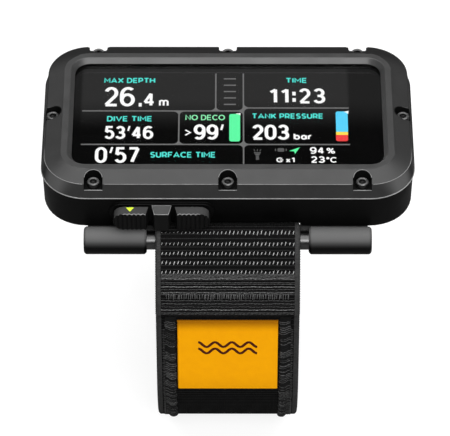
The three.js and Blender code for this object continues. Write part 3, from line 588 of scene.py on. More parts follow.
def case_outline(inset):
    """Closely spaced points round the case, inset by the same amount all round."""
    outline = []
    for quarter, (sign_x, sign_y) in enumerate(((1, 1), (-1, 1), (-1, -1), (1, -1))):
        for step in range(CORNER_STEPS + 1):
            x, y = on_arc(CASE_CORNER - inset, radians(90 * (quarter + step / CORNER_STEPS)))
            outline.append((sign_x * (CASE_HALF_X - CASE_CORNER) + x,
                            sign_y * (CASE_HALF_Y - CASE_CORNER) + y))
    dense = []
    for place, (x, y) in enumerate(outline):
        next_x, next_y = outline[(place + 1) % len(outline)]
        steps = SIDE_STEPS if hypot(next_x - x, next_y - y) > CASE_CORNER else 1
        dense += [(x + (next_x - x) * k / steps, y + (next_y - y) * k / steps) for k in range(steps)]
    return dense


def notch_places():
    """Each screw notch: its centre and the direction that it opens in."""
    x_side, y_side = CASE_HALF_X - SCREW_INSET, CASE_HALF_Y - SCREW_INSET
    places = [(x, sign * y_side, 0, sign) for sign in (-1, 1) for x in (-SCREW_SPREAD, 0, SCREW_SPREAD)]
    return places + [(sign * x_side, 0, sign, 0) for sign in (-1, 1)]


def in_notch(x, y):
    for cx, cy, dx, dy in notch_places():
        along, across = (x - cx) * dx + (y - cy) * dy, (x - cx) * dy - (y - cy) * dx
        if along > 0 and abs(across) < NOTCH_RADIUS + NOTCH_CLEARANCE:
            return True
    return False


def open_runs(points, is_gap):
    """A closed line of points cut where it crosses a gap."""
    start = next(place for place, point in enumerate(points) if is_gap(*point))
    runs, run = [], []
    for point in points[start:] + points[:start]:
        if is_gap(*point):
            if len(run) > 1:
                runs.append(run)
            run = []
        else:
            run.append(point)
    return runs + [run] if len(run) > 1 else runs


def chamfer_height(x, y):
    """Height of the bezel's outer slope above a point near a straight side."""
    inset = min(CASE_HALF_X - abs(x), CASE_HALF_Y - abs(y))
    slope = (BEZEL_RIDGE - BEZEL_SHOULDER) / (RIDGE_OUTER_INSET - SHOULDER_INSET)
    return BEZEL_SHOULDER + (inset - SHOULDER_INSET) * slope


def bezel_lines(look):
    """Thin pale threads along the bezel's edges, a painted highlight where the edges catch the light."""
    lines = Shape()
    for run in open_runs(case_outline(SHOULDER_INSET), in_notch):
        lines.thread([(x, y, BEZEL_SHOULDER) for x, y in run], EDGE_LINE * 0.8)
    foot = case_outline(0.02)
    foot.append(foot[0])
    lines.thread([(x, y, BEZEL_BOTTOM + FOOT_BEAD * 0.7) for x, y in foot], FOOT_BEAD)
    for cx, cy, dx, dy in notch_places():
        arc = []
        for step in range(NOTCH_STEPS + 1):
            across, depth = on_arc(NOTCH_RADIUS, radians(5 + 170 * step / NOTCH_STEPS))
            x, y = cx - depth * dx + across * dy, cy - depth * dy - across * dx
            arc.append((x, y, chamfer_height(x, y)))
        lines.thread(arc, EDGE_LINE * 0.75)
        ends = [(cx + MOUTH_REACH * dx + side * dy, cy + MOUTH_REACH * dy - side * dx, NOTCH_FLOOR)
                for side in (-NOTCH_RADIUS, 0, NOTCH_RADIUS)]
        lines.thread(ends, EDGE_LINE)
    lines.piece("bezel_edge_lines", look["edge"], slot="bezel_metal")


FOOT_SHOWN_X = 20.37
SIDES = ("left", "centre", "right")


def widened_foot(point):
    """Brings the inner side of a lug's foot up to the webbing."""
    if abs(point.x) < (LUG_FOOT_INNER_X + 0.05) * MM:
        return Vector((copysign(FOOT_SHOWN_X * MM, point.x), point.y, point.z))
    return point


def hardware_pieces(look):
    for corner in ("front_left", "front_right", "rear_left", "rear_right"):
        refined(f"lug_{corner}", f"lug_barrel_{corner}", look["lug"], bevel=0.2, angle=25,
                fit=widened_foot)
    for end in ("front", "rear"):
        refined(f"strap_bar_{end}", f"bar_{end}", look["bar"], bevel=0.2, angle=30)


def button_finish(_, normal):
    """0 on top, 1 on the gripping faces, which get a darker copy of the coating as painted shade."""
    return 0 if normal.z > 0.5 else 1


RIM_RADIUS = 0.12
RIM_SINK = 0.03


def button_rim(side, look):
    """A painted highlight along the edge of a button's flat top: its fluted front, or all round the middle
    button.
    """
    work = cleaned(f"button_{side}")
    flat = [face for face in work.faces if face.normal.z > 0.99]
    top = max(flat, key=lambda face: face.calc_center_median().z)
    corners = [vertex.co / MM for vertex in top.verts]
    back = max(point.y for point in corners)
    start = next(place for place, point in enumerate(corners) if point.y > back - 0.3)
    corners = corners[start:] + corners[:start]
    if side == "centre":
        shown = [*corners, corners[0]]
    else:
        shown = [point for point in corners if point.y < back - 0.6]
    work.free()
    line = [(point.x, point.y, point.z - RIM_SINK) for point in shown]
    rim = Shape().thread(line, RIM_RADIUS)
    rim.piece(f"button_rim_{side}", look["worn"], body=f"{side}_button", slot="button_metal")


SPRING_RADIUS = 1.6
SPRING_WIRE = 0.25
SPRING_TURNS = 3.5
COIL_STEPS = 84


def return_spring(side, look):
    """A coil of round wire that stands in for a button's return spring."""
    low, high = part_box(f"button_spring_{side}")
    x, z = (low.x + high.x) / 2 / MM, (low.z + high.z) / 2 / MM
    start, end = low.y / MM + SPRING_WIRE, high.y / MM - SPRING_WIRE
    coil = []
    for step in range(COIL_STEPS + 1):
        share = step / COIL_STEPS
        out, up = on_arc(SPRING_RADIUS, 2 * pi * SPRING_TURNS * share)
        coil.append((x + out, start + (end - start) * share, z + up))
    spring = Shape().thread(coil, SPRING_WIRE, sides=8, up=(0, 1, 0))
    piece = spring.piece(f"return_spring_{side}", look["spring"], slot="spring_steel",
                         stands_for=[f"button_spring_{side}"])
    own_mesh(piece)


def button_pieces(look):
    for side in SIDES:
        body = f"{side}_button"
        top = look["key"] if side == "centre" else look["button"]
        refined(f"button_{side}", f"button_cap_{side}", [top, look["button_face_shade"]],
                bevel=0.1, angle=50 if side == "centre" else 34, body=body, choose=button_finish)
        button_rim(side, look)
        dress(f"button_clip_{side}", look["spring"])
        return_spring(side, look)
        dress(f"button_ring_{side}", look["rubber"])
        dress(f"switch_{side}", look["housing"])


def button_marker(look):
    """A small painted pointer on top of the left button."""
    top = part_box("button_left")[1].z / MM
    outline = [(-26.15, -31.75), (-28.45, -31.75), (-27.3, -33.4)]
    marker = Shape().add(*prism(outline, top + 0.005, top + 0.05))
    marker.piece("button_pointer", look["marker"], body="left_button", smooth=False)


# ---- screws ---------------------------------------------------------------------------------

SCREW_SIDES = 24
SOCKET_RADIUS = 0.86
SOCKET_DEPTH = 0.62
HEAD_PROFILE = ((0, 0), (0, 0.62), (0.08, 0.8), (0.28, 0.95), (0.5, 1), (0.68, 0.97), (0.8, 0.88))
# Bands of the head profile that get the painted rim highlight.
RIM_HIGHLIGHT_BANDS = range(4, 8)
# Head height, shank length, where the head stands, and 1 for a head that faces up or -1 for down.
BOLTS = {
    "bezel": (1.5, 9.2, NOTCH_FLOOR + GAP / 2, 1),
    "cover": (0.9, 6.4, COVER_HEAD_BASE, -1),
    "lug": (0.9, 5.6, COVER_HEAD_BASE, -1),
}


def hexagon(radius, sides):
    """Points round a hexagon, evenly divided, that start at a corner."""
    share = sides // 6
    corners = [on_arc(radius, k * pi / 3) for k in range(7)]
    points = []
    for (x0, y0), (x1, y1) in zip(corners, corners[1:]):
        points += [(x0 + (x1 - x0) * k / share, y0 + (y1 - y0) * k / share) for k in range(share)]
    return points


def screw_solid(head, shank):
    """A socket-head screw standing on the origin, with a raised rim round its socket."""
    profile = [(SHANK_RADIUS, -shank), (SHANK_RADIUS, 0)]
    profile += [(HEAD_RADIUS - inset, head * share) for inset, share in HEAD_PROFILE]
    angles = [2 * pi * k / SCREW_SIDES for k in range(SCREW_SIDES)]
    rings = [[(*on_arc(radius, angle), height) for angle in angles] for radius, height in profile]
    mouth = head * HEAD_PROFILE[-1][1]
    floor = mouth - SOCKET_DEPTH
    for radius, height in ((SOCKET_RADIUS, mouth), (SOCKET_RADIUS, floor), (SOCKET_RADIUS / 2, floor - 0.1)):
        rings.append([(x, y, height) for x, y in hexagon(radius, SCREW_SIDES)])
    points = [point for ring in rings for point in ring]
    faces = [tuple(reversed(range(SCREW_SIDES)))]
    last = (len(rings) - 1) * SCREW_SIDES
    for low in range(0, last, SCREW_SIDES):
        faces += band(low, low + SCREW_SIDES, SCREW_SIDES)
    faces.append(tuple(range(last, last + SCREW_SIDES)))
    return points, faces, [int((place - 1) // SCREW_SIDES in RIM_HIGHLIGHT_BANDS) for place in range(len(faces))]


def screw_piece(kind, number, look):
    node = f"{kind}_screw_{number}"
    head, shank, base, way = BOLTS[kind]
    low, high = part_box(node)
    x, y = (low.x + high.x) / 2 / MM, (low.y + high.y) / 2 / MM
    points, faces, slots = screw_solid(head, shank)
    shape = Shape().add([(x + px, y + way * py, base + way * pz) for px, py, pz in points], faces)
    shape.slots = slots
    screw = shape.piece(f"{kind}_bolt_{number}", [look["screw"], look["screw_rim"]], slot="black_screw",
                        stands_for=[node])
    bevelled(screw, 0.05, 50, clamp=True)


def screw_pieces(look):
    for number in range(1, 9):
        screw_piece("bezel", number, look)
    for number in range(1, 5):
        screw_piece("cover", number, look)
        screw_piece("lug", number, look)


# ---- what the screen shows ------------------------------------------------------------------

SCREEN_LEVEL = PANEL_TOP + 0.02
SCREEN_FILM = 0.02
LINE_HALF = 0.2
FILLET = 1.7


def films(name, material, outlines):
    """Flat patches on the screen."""
    shape = Shape()
    for outline in outlines:
        shape.add(*prism(outline, SCREEN_LEVEL, SCREEN_LEVEL + SCREEN_FILM))
    shape.piece(name, material, slot="display", smooth=False)


def box_outline(x0, x1, y0, y1):
    return [(x0, y0), (x1, y0), (x1, y1), (x0, y1)]


def round_outline(x0, x1, y0, y1, radius, steps=5, lower=True, upper=True):
    """A rectangle with round lower and upper corners, where asked for."""
    outline = []
    corners = [(x1, y1, -1, -1, 0, upper), (x0, y1, 1, -1, 90, upper),
               (x0, y0, 1, 1, 180, lower), (x1, y0, -1, 1, 270, lower)]
    for x, y, inward_x, inward_y, start, is_round in corners:
        r = radius if is_round else 0.001
        outline += bend(x + inward_x * r, y + inward_y * r, r, r, start, start + 90, steps)
    return outline


def fillet_outline(x, y, side_x, side_y, steps=6):
    """The concave corner between two crossing lines; the sides say which quarter it fills."""
    x, y = x + side_x * LINE_HALF * 0.8, y + side_y * LINE_HALF * 0.8
    hollow = [on_arc(FILLET, radians(90 * step / steps)) for step in range(steps + 1)]
    curve = [(x + side_x * (FILLET - up), y + side_y * (FILLET - out)) for out, up in hollow]
    return [(x, y), *(curve if side_x * side_y < 0 else reversed(curve))]


def bend(cx, cy, rx, ry, start, end, steps=12):
    """Points along part of an ellipse, from one angle to another in degrees."""
    angles = [radians(start + (end - start) * step / steps) for step in range(steps + 1)]
    return [(cx + rx * cos(a), cy + ry * sin(a)) for a in angles]


def loop(cx, cy, rx, ry):
    ring = bend(cx, cy, rx, ry, 0, 360, 24)
    return ring[:-1] + [ring[0]]


# Each sign is its width and the strokes that draw it, in a box of height 1, and how heavy they are.
SIGNS = {
    " ": (0.12, []),
    "0": (0.56, [bend(0.28, 0.68, 0.28, 0.32, 0, 180) + bend(0.28, 0.32, 0.28, 0.32, 180, 360)
                 + [(0.56, 0.68)]]),
    "1": (0.36, [[(0, 0.79), (0.32, 0.98)], [(0.3, 1), (0.3, 0)]]),
    "2": (0.56, [bend(0.28, 0.71, 0.26, 0.29, 160, -32) + [(0.03, 0.02)], [(0, 0), (0.58, 0)]]),
    "3": (0.56, [bend(0.27, 0.745, 0.25, 0.255, 155, -90), bend(0.27, 0.255, 0.29, 0.255, 90, -158),
                 [(0.17, 0.5), (0.3, 0.5)]]),
    "4": (0.6, [[(0.42, 0), (0.42, 0.98)], [(0.4, 1), (0.0, 0.26)], [(0, 0.26), (0.6, 0.26)]]),
    "5": (0.56, [[(0.52, 1), (0.09, 1), (0.05, 0.55)], bend(0.27, 0.32, 0.29, 0.32, 142, -152)]),
    "6": (0.58, [loop(0.29, 0.31, 0.29, 0.31), bend(0.32, 0.62, 0.32, 0.38, 48, 180) + [(0, 0.31)]]),
    "7": (0.56, [[(0, 1), (0.56, 1)], [(0.55, 0.99), (0.18, 0)]]),
    "9": (0.58, [loop(0.29, 0.69, 0.29, 0.31), bend(0.26, 0.38, 0.32, 0.38, -132, 0) + [(0.58, 0.69)]]),
    ":": (0.06, [[(0.03, 0.04), (0.03, 0.32)], [(0.03, 0.54), (0.03, 0.82)]]),
    ".": (0.06, [[(0.03, -0.1), (0.03, 0.2)]]),
    "'": (0.12, [[(0.14, 1.08), (0.03, 0.66)]], 0.62),
    "%": (0.8, [loop(0.15, 0.8, 0.15, 0.2), loop(0.65, 0.2, 0.15, 0.2), [(0.66, 1), (0.14, 0)]]),
    "\u00b0": (0.2, [loop(0.1, 0.86, 0.12, 0.14)]),
    ">": (0.5, [[(0, 1), (0.5, 0.5), (0, 0)]]),
    "m": (1.5, [[(0, 0), (0, 1)], bend(0.36, 0.66, 0.36, 0.34, 170, 0) + [(0.72, 0)],
                bend(1.1, 0.66, 0.38, 0.34, 170, 0) + [(1.48, 0)]]),
    "b": (0.58, [[(0, 0), (0, 1)], loop(0.3, 0.34, 0.28, 0.34)]),
    "a": (0.54, [loop(0.27, 0.34, 0.27, 0.34), [(0.54, 0.68), (0.54, 0)]]),
    "r": (0.3, [[(0, 0), (0, 0.68)], bend(0.28, 0.38, 0.27, 0.3, 165, 80)]),
    "x": (0.5, [[(0, 0), (0.5, 0.7)], [(0, 0.7), (0.5, 0)]]),
    "A": (0.86, [[(0, 0), (0.43, 1), (0.86, 0)], [(0.15, 0.3), (0.71, 0.3)]]),
    "C": (0.78, [bend(0.44, 0.5, 0.44, 0.5, 45, 315)]),
    "D": (0.74, [[(0, 0), (0, 1), (0.3, 1)] + bend(0.3, 0.5, 0.44, 0.5, 90, -90) + [(0, 0)]]),
    "E": (0.6, [[(0.6, 1), (0, 1), (0, 0), (0.6, 0)], [(0, 0.5), (0.54, 0.5)]]),
    "F": (0.58, [[(0.6, 1), (0, 1), (0, 0)], [(0, 0.48), (0.52, 0.48)]]),
    "H": (0.72, [[(0, 0), (0, 1)], [(0.72, 0), (0.72, 1)], [(0, 0.5), (0.72, 0.5)]]),
    "I": (0.0, [[(0, 0), (0, 1)]]),
    "K": (0.68, [[(0, 0), (0, 1)], [(0.66, 1), (0.02, 0.38)], [(0.24, 0.6), (0.68, 0)]]),
    "M": (0.86, [[(0, 0), (0, 1), (0.43, 0.36), (0.86, 1), (0.86, 0)]]),
    "N": (0.74, [[(0, 0), (0, 1), (0.74, 0), (0.74, 1)]]),
    "O": (0.92, [loop(0.46, 0.5, 0.46, 0.5)]),
    "P": (0.6, [[(0, 0), (0, 1), (0.32, 1)] + bend(0.32, 0.68, 0.29, 0.32, 90, -90) + [(0, 0.36)]]),
    "R": (0.64, [[(0, 0), (0, 1), (0.32, 1)] + bend(0.32, 0.68, 0.29, 0.32, 90, -90) + [(0, 0.36)],
                 [(0.34, 0.36), (0.64, 0)]]),
    "S": (0.62, [bend(0.32, 0.75, 0.28, 0.25, 35, 250) + bend(0.3, 0.25, 0.3, 0.25, 75, -145)]),
    "T": (0.72, [[(0, 1), (0.72, 1)], [(0.36, 1), (0.36, 0)]]),
    "U": (0.7, [[(0, 1)] + bend(0.35, 0.36, 0.35, 0.36, 180, 360) + [(0.7, 1)]]),
    "V": (0.84, [[(0, 1), (0.42, 0), (0.84, 1)]]),
    "X": (0.8, [[(0, 0), (0.8, 1)], [(0, 1), (0.8, 0)]]),
}
SIGN_SPACE = 0.14
MITRE_LIMIT = 1.25


def ribbon(line, half):
    """A flat stroke of even width along a line, as a closed body on the screen."""
    line = np.array(line, float)
    line = line[np.concatenate([[True], np.hypot(*np.diff(line, axis=0).T) > 1e-4])]
    is_ring = bool(np.hypot(*(line[0] - line[-1])) < 1e-4)
    if is_ring:
        line = line[:-1]
    after, before = np.roll(line, -1, axis=0), np.roll(line, 1, axis=0)
    if not is_ring:
        after[-1], before[0] = 2 * line[-1] - line[-2], 2 * line[0] - line[1]
    ahead, behind = after - line, line - before
    ahead /= np.hypot(*ahead.T)[:, None]
    behind /= np.hypot(*behind.T)[:, None]
    side = np.stack([-(ahead + behind)[:, 1], (ahead + behind)[:, 0]], 1)
    side /= np.maximum(np.hypot(*side.T), 1e-6)[:, None]
    reach = 1 / np.maximum(np.abs(side[:, 1] * ahead[:, 0] - side[:, 0] * ahead[:, 1]), 1 / MITRE_LIMIT)
    shift = side * (half * reach)[:, None]
    low, high = SCREEN_LEVEL, SCREEN_LEVEL + SCREEN_FILM
    points = []
    for (x, y), (dx, dy) in zip(line, shift):
        points += [(x + dx, y + dy, low), (x - dx, y - dy, low),
                   (x - dx, y - dy, high), (x + dx, y + dy, high)]
    faces = []
    for place in range(len(line) if is_ring else len(line) - 1):
        a, b = 4 * place, 4 * ((place + 1) % len(line))
        faces += [(a + k, b + k, b + (k + 1) % 4, a + (k + 1) % 4) for k in range(4)]
    if not is_ring:
        last = 4 * (len(line) - 1)
        faces += [(0, 1, 2, 3), (last + 3, last + 2, last + 1, last)]
    return points, faces


def lettering(shape, words, x0, x1, y0, y1, width, space=SIGN_SPACE):
    """Signs drawn with strokes of one width that fill a box on the screen."""
    total = sum(SIGNS[sign][0] for sign in words) + space * (len(words) - 1)
    total += sum(width / (y1 - y0) for _ in words[1:])
    step = (x1 - x0 - width) / total
    x = x0 + width / 2
    for sign in words:
        across, strokes, *weight = SIGNS[sign]
        for stroke in strokes:
            placed = [(x + px * step, y0 + width / 2 + py * (y1 - y0 - width)) for px, py in stroke]
            shape.add(*ribbon(placed, width / 2 * (weight[0] if weight else 1)))
        x += (across + space + width / (y1 - y0)) * step


# Words or figures, the box that they fill on the screen (x from and to, y from and to) and their stroke.
LABEL_WORDS = (
    ("MAX DEPTH", -35.6, -20.9, 15.1, 17.35, 0.44),
    ("TIME", 16.6, 22.8, 15.2, 17.4, 0.44),
    ("DIVE TIME", -34.4, -21.5, -1.3, 1.0, 0.44),
    ("TANK PRESSURE", 6.8, 27.2, -0.1, 2.15, 0.44),
    ("SURFACE TIME", -21.9, -3.4, -16.4, -14.0, 0.44),
)
STATE_WORDS = (("NO DECO", -12.1, -0.8, -0.75, 1.55, 0.38),)
FIGURES = (
    ("26", -35.5, -26.6, 5.1, 13.4, 1.1),
    (".4", -25.6, -20.8, 5.1, 11.0, 0.85),
    ("m", -19.7, -16.9, 5.2, 7.9, 0.55),
    ("11:23", 11.8, 27.9, 6.4, 12.85, 0.98, 0.22),
    ("53'46", -35.0, -21.1, -8.7, -3.2, 0.86),
    (">", -12.3, -10.4, -7.3, -4.6, 0.5),
    ("99'", -9.7, -1.0, -8.9, -2.5, 1.0),
    ("203", 6.8, 17.4, -8.95, -2.6, 1.0),
    ("bar", 18.6, 23.8, -8.9, -6.2, 0.55),
    ("0'57", -37.4, -24.8, -18.6, -12.05, 0.98),
    ("94", 23.1, 27.2, -14.8, -11.95, 0.5),
    ("%", 27.8, 30.2, -14.7, -12.3, 0.42),
    ("23", 23.3, 27.3, -18.5, -15.75, 0.5),
    ("\u00b0C", 27.7, 30.7, -18.4, -16.1, 0.42),
    ("x1", 16.3, 18.9, -18.4, -16.2, 0.42),
)


def screen_words(look):
    for name, finish, rows in (("labels", "teal", LABEL_WORDS), ("state", "mint", STATE_WORDS),
                               ("numbers", "white", FIGURES)):
        words = Shape()
        for row in rows:
            lettering(words, *row)
        words.piece(f"screen_{name}", look[finish], slot="display", smooth=False)


COLUMN_LEFT = -3.46
COLUMN_RIGHT = 4.44
COLUMN_MIDDLE = -13.9
ROW_LEFT = 3.17
ROW_RIGHT = 4.45
ROW_LOW = -10.91
SCREEN_LEFT = -41.5
SCREEN_RIGHT = 34.5
SCREEN_TOP = 19.25
SCREEN_FOOT = -18.97


CROSSINGS = (
    (COLUMN_LEFT, ROW_LEFT, (-1, 1), (1,)),
    (COLUMN_MIDDLE, ROW_LEFT, (-1, 1), (-1,)),
    (COLUMN_MIDDLE, ROW_LOW, (-1, 1), (1,)),
    (COLUMN_RIGHT, ROW_LEFT, (-1,), (1, -1)),
    (COLUMN_RIGHT, ROW_RIGHT, (1,), (1, -1)),
    (COLUMN_RIGHT, ROW_LOW, (-1, 1), (1, -1)),
)
SCALE_TOP = 16.95
SCALE_STEP = 2.74


def screen_lines(look):
    """The grid between the fields, with round inner corners, and the five bars of the scale."""
    across, half = LINE_HALF * 1.2, LINE_HALF
    outlines = []
    for x0, x1, y in ((SCREEN_LEFT, COLUMN_RIGHT, ROW_LEFT), (COLUMN_RIGHT, SCREEN_RIGHT, ROW_RIGHT),
                      (SCREEN_LEFT, SCREEN_RIGHT, ROW_LOW)):
        outlines.append(box_outline(x0, x1, y - across, y + across))
    for x, y0, y1 in ((COLUMN_LEFT, ROW_LEFT, SCREEN_TOP), (COLUMN_RIGHT, SCREEN_FOOT, SCREEN_TOP),
                      (COLUMN_MIDDLE, ROW_LOW, ROW_LEFT)):
        outlines.append(box_outline(x - half, x + half, y0, y1))
    for x, y, sides_x, sides_y in CROSSINGS:
        outlines += [fillet_outline(x, y, side_x, side_y) for side_y in sides_y for side_x in sides_x]
    for step in range(5):
        y = SCALE_TOP - step * SCALE_STEP
        outlines.append(box_outline(-1.15, 2.3, y - 0.24, y + 0.24))
    films("screen_lines", look["line"], outlines)


def screen_gauges(look):
    films("screen_gauge_green", look["green"], [round_outline(0.4, 3.5, -9.65, 1.9, 0.7)])
    films("screen_gauge_blue", look["blue"], [round_outline(30.7, 34.1, -5.6, 3.0, 0.7, lower=False)])
    films("screen_gauge_yellow", look["yellow"], [box_outline(30.65, 34.05, -6.9, -5.6)])
    films("screen_gauge_red", look["red"], [round_outline(30.6, 34.0, -9.5, -6.9, 0.7, upper=False)])
    caps = [[(3.6, 2.3), (2.2, 2.05), (3.6, 1.3)], [(34.4, 3.3), (33.0, 2.9), (34.3, 1.9)]]
    films("screen_gauge_marks", look["white"], caps)


RING_X = 14.6
RING_Y = -17.3


def screen_icons(look):
    arrow = [(20.3, -12.05), (17.3, -13.6), (18.7, -13.75), (18.9, -14.85)]
    films("screen_arrow", look["green"], [arrow])
    torch = [box_outline(7.9, 8.75, -17.3, -15.6), [(7.9, -15.5), (8.75, -15.5), (9.2, -14.6), (7.45, -14.6)],
             box_outline(7.35, 9.3, -14.45, -14.1)]
    for x, lean in ((7.6, -0.25), (8.33, 0), (9.05, 0.25)):
        left, right = x - 0.12, x + 0.12
        torch.append([(left, -13.7), (right, -13.7), (right + lean, -12.9), (left + lean, -12.9)])
    handset = [round_outline(14.0, 15.9, -13.9, -12.45, 0.5), box_outline(13.3, 13.6, -13.6, -12.7),
               box_outline(16.3, 16.6, -13.6, -12.7)]
    films("screen_icons_faint", look["faint"], torch + handset)
    inner, outer = (bend(RING_X, RING_Y, radius, radius, 40, 328, 9) for radius in (0.62, 1.0))
    ring = [[inner[k], outer[k], outer[k + 1], inner[k + 1]] for k in range(9)]
    films("screen_icons_bright", look["white"], [*ring, box_outline(14.6, 15.6, -17.5, -17.15)])


# ---- strap ----------------------------------------------------------------------------------

ROW_STEP = 0.21
PICK_PITCH = 1.05
PICK_HEIGHT = 0.17
CREST_SHARE = 0.75
SELVEDGE_WIDTH = 1.35
SELVEDGE_PITCH = 0.72
EDGE_PROUD = 0.2
FACE_COLUMNS = 16
EDGE_COLUMNS = 5
OUTER_HALF = STRAP_THICKNESS / 2


def arc_points(centre_y, centre_z, radius, start, end, steps):
    angles = np.radians(np.linspace(start, end, steps + 1))
    return np.stack([centre_y + radius * np.cos(angles), centre_z + radius * np.sin(angles)], 1)


def blend_curve(start, start_heading, start_pull, end, end_heading, end_pull, steps):
    start, end = np.array(start, float), np.array(end, float)
    first = start + start_pull * np.array(start_heading)
    second = end - end_pull * np.array(end_heading)
    t = np.linspace(0, 1, steps + 1)[:, None]
    return (1 - t) ** 3 * start + 3 * (1 - t) ** 2 * t * first + 3 * (1 - t) * t ** 2 * second + t ** 3 * end


def fold_line(layer_step, end_z):
    """Centre line of the webbing round one bar, as in the CAD part, from the loose end inwards."""
    radius = BAR_RADIUS + GAP + STRAP_THICKNESS / 2
    arc = arc_points(-BAR_Y, 0, radius, 180 - OUTER_LEAN, -INNER_LEAN, 36)
    outer_lean, inner_lean = radians(OUTER_LEAN), radians(INNER_LEAN)
    outer_meet = (-LOOP_RADIUS - layer_step, MEET_Z)
    inner_meet = (-LOOP_RADIUS, MEET_Z - 2)
    outer = blend_curve(outer_meet, (0, 1), 6, arc[0], (sin(outer_lean), cos(outer_lean)), 7, 30)
    inner_heading = (-sin(inner_lean), -cos(inner_lean))
    inner = blend_curve(arc[-1], inner_heading, 7, inner_meet, (0, -1), 10.5, 30)
    end = [(-LOOP_RADIUS - layer_step, end_z)] if end_z < MEET_Z else []
    return np.array([*end, *outer, *arc[1:-1], *inner])


class Route:
    """The webbing's centre line, seen from the side, measured from the loose end at the front."""

    def __init__(self):
        front = fold_line(LAYER_STEP, MEET_Z)
        rear = fold_line(REAR_LAYER_STEP, REAR_END_Z)[::-1] * [-1, 1]
        under = arc_points(0, LOOP_ARC_Z, LOOP_RADIUS, 180, 360, 160)
        line = np.concatenate([front, under, rear])
        steps = np.hypot(*np.diff(line, axis=0).T)
        line = line[np.concatenate([[True], steps > 1e-6])]
        reach = np.concatenate([[0], np.cumsum(np.hypot(*np.diff(line, axis=0).T))])
        self.length = reach[-1]
        self.s = np.arange(0, self.length, ROW_STEP)
        self.y = np.interp(self.s, reach, line[:, 0])
        self.z = np.interp(self.s, reach, line[:, 1])
        kernel = np.ones(5) / 5
        along_y = np.convolve(np.pad(np.gradient(self.y), 2, mode="edge"), kernel, "valid")
        along_z = np.convolve(np.pad(np.gradient(self.z), 2, mode="edge"), kernel, "valid")
        size = np.hypot(along_y, along_z)
        self.ty, self.tz = along_y / size, along_z / size

    def points(self, x, s, height):
        """Points at x across, s along and height off the centre line, on its left side."""
        y, z = np.interp(s, self.s, self.y), np.interp(s, self.s, self.z)
        ty, tz = np.interp(s, self.s, self.ty), np.interp(s, self.s, self.tz)
        return np.stack(np.broadcast_arrays(x, y - tz * height, z + ty * height), -1)


def section():
    """x and height of each point round the webbing, seen end on."""
    half = STRAP_HALF_WIDTH + EDGE_PROUD - OUTER_HALF * 0.7
    inner = half - SELVEDGE_WIDTH * 0.6
    face = [-half, -half + 0.35, *np.linspace(-inner, inner, FACE_COLUMNS), half - 0.35, half]
    right = [(half + OUTER_HALF * 0.7 * sin(a), cos(a) * OUTER_HALF)
             for a in np.linspace(0, pi, EDGE_COLUMNS + 2)[1:-1]]
    top = [(x, OUTER_HALF) for x in face] + right
    return top + [(-x, -height) for x, height in top]


def webbing_piece(route, look):
    ring = section()
    xs = np.array([x for x, h in ring])
    hs = np.array([h for x, h in ring])
    rows = route.s
    edge = np.abs(xs) > STRAP_HALF_WIDTH - SELVEDGE_WIDTH
    drift = 0.05 * np.sin(xs * 0.9 + rows[:, None] * 0.35)
    pick = np.abs(np.sin(pi * (rows[:, None] / PICK_PITCH + drift))) - 0.5
    slanted = rows[:, None] / SELVEDGE_PITCH + np.abs(xs) * 0.45
    cord = np.abs(np.sin(pi * slanted)) - 0.5
    lift = np.where(edge, cord * 0.2, pick * PICK_HEIGHT)
    height = hs + np.sign(hs) * lift * (np.abs(hs) > 0.9 * OUTER_HALF)
    wide = xs + np.where(edge, np.sign(xs) * cord * 0.16, 0)
    grid = route.points(wide, rows[:, None], height)
    count = len(ring)
    on_selvedge = edge & np.roll(edge, -1) & (xs * np.roll(xs, -1) > 0)
    faces, slots = [], []
    for row in range(len(rows) - 1):
        faces += band(row * count, (row + 1) * count, count)
        crest = np.where(pick[row] + pick[row + 1] > CREST_SHARE, 2, 0)
        slots += np.where(on_selvedge, 1, crest).tolist()
    faces.append(tuple(reversed(range(count))))
    faces.append(tuple(range((len(rows) - 1) * count, len(rows) * count)))
    shape = Shape().add(grid.reshape(-1, 3), faces)
    shape.slots = slots + [0, 0]
    shape.piece("strap_webbing", [look["webbing"], look["selvedge"], look["crest"]], slot="webbing",
                stands_for=["strap"])


FLOAT_ROWS_START = 13.3
FLOAT_ROW_STEP = 2.65
FLOAT_COUNT = 34
FLOAT_PITCH = 1.115
FLOAT_LENGTH = 1.05
FLOAT_LEAN = 0.36
FLOAT_RADIUS = 0.15


def float_rows(route, starts, shape, chance, thinning=None):
    """Short slanted yarns that lie on top of the webbing in rows; the thinning makes them smaller, as painted
    shade.
    """
    for start in starts:
        for place in range(FLOAT_COUNT):
            x = (place - (FLOAT_COUNT - 1) / 2) * FLOAT_PITCH + chance.uniform(-0.06, 0.06)
            left = thinning(x, start) if thinning else 1
            length = FLOAT_LENGTH * chance.uniform(0.8, 1.15) * left
            middle = start + chance.uniform(-0.12, 0.12)
            t = np.linspace(-1, 1, 7)
            s = middle + t * length / 2
            path = route.points(x + t * FLOAT_LEAN / 2, s, OUTER_HALF + 0.02 + 0.2 * (1 - t ** 4))
            taper = np.sqrt(np.clip(1.02 - t ** 2, 0.05, 1))
            radius = FLOAT_RADIUS * taper * chance.uniform(0.85, 1.1) * left
            shape.thread(path, radius, up=path - route.points(x + t * 0, s, 0))


FRONT_ROWS = 5
REAR_ROWS = 19
REAR_ROWS_START = 3.0
# The thinning below is painted shade for the buttons' shadow on the fold.
THINNING_REACH = 1.6 * FLOAT_ROW_STEP
MOST_THINNING = 0.72
THINNEST_ROW = FLOAT_ROWS_START + (FRONT_ROWS - 1) * FLOAT_ROW_STEP


def button_shade_thinning(x, s):
    """How much yarn is left near the buttons: the yarns are thinned as painted shade for the shadow that the
    buttons and the case cast on the fold.
    """
    depth = min(max(1 - (THINNEST_ROW - s) / THINNING_REACH, 0), 1)
    return 1 - MOST_THINNING * depth * min(max((2 - x) / 18, 0), 1)


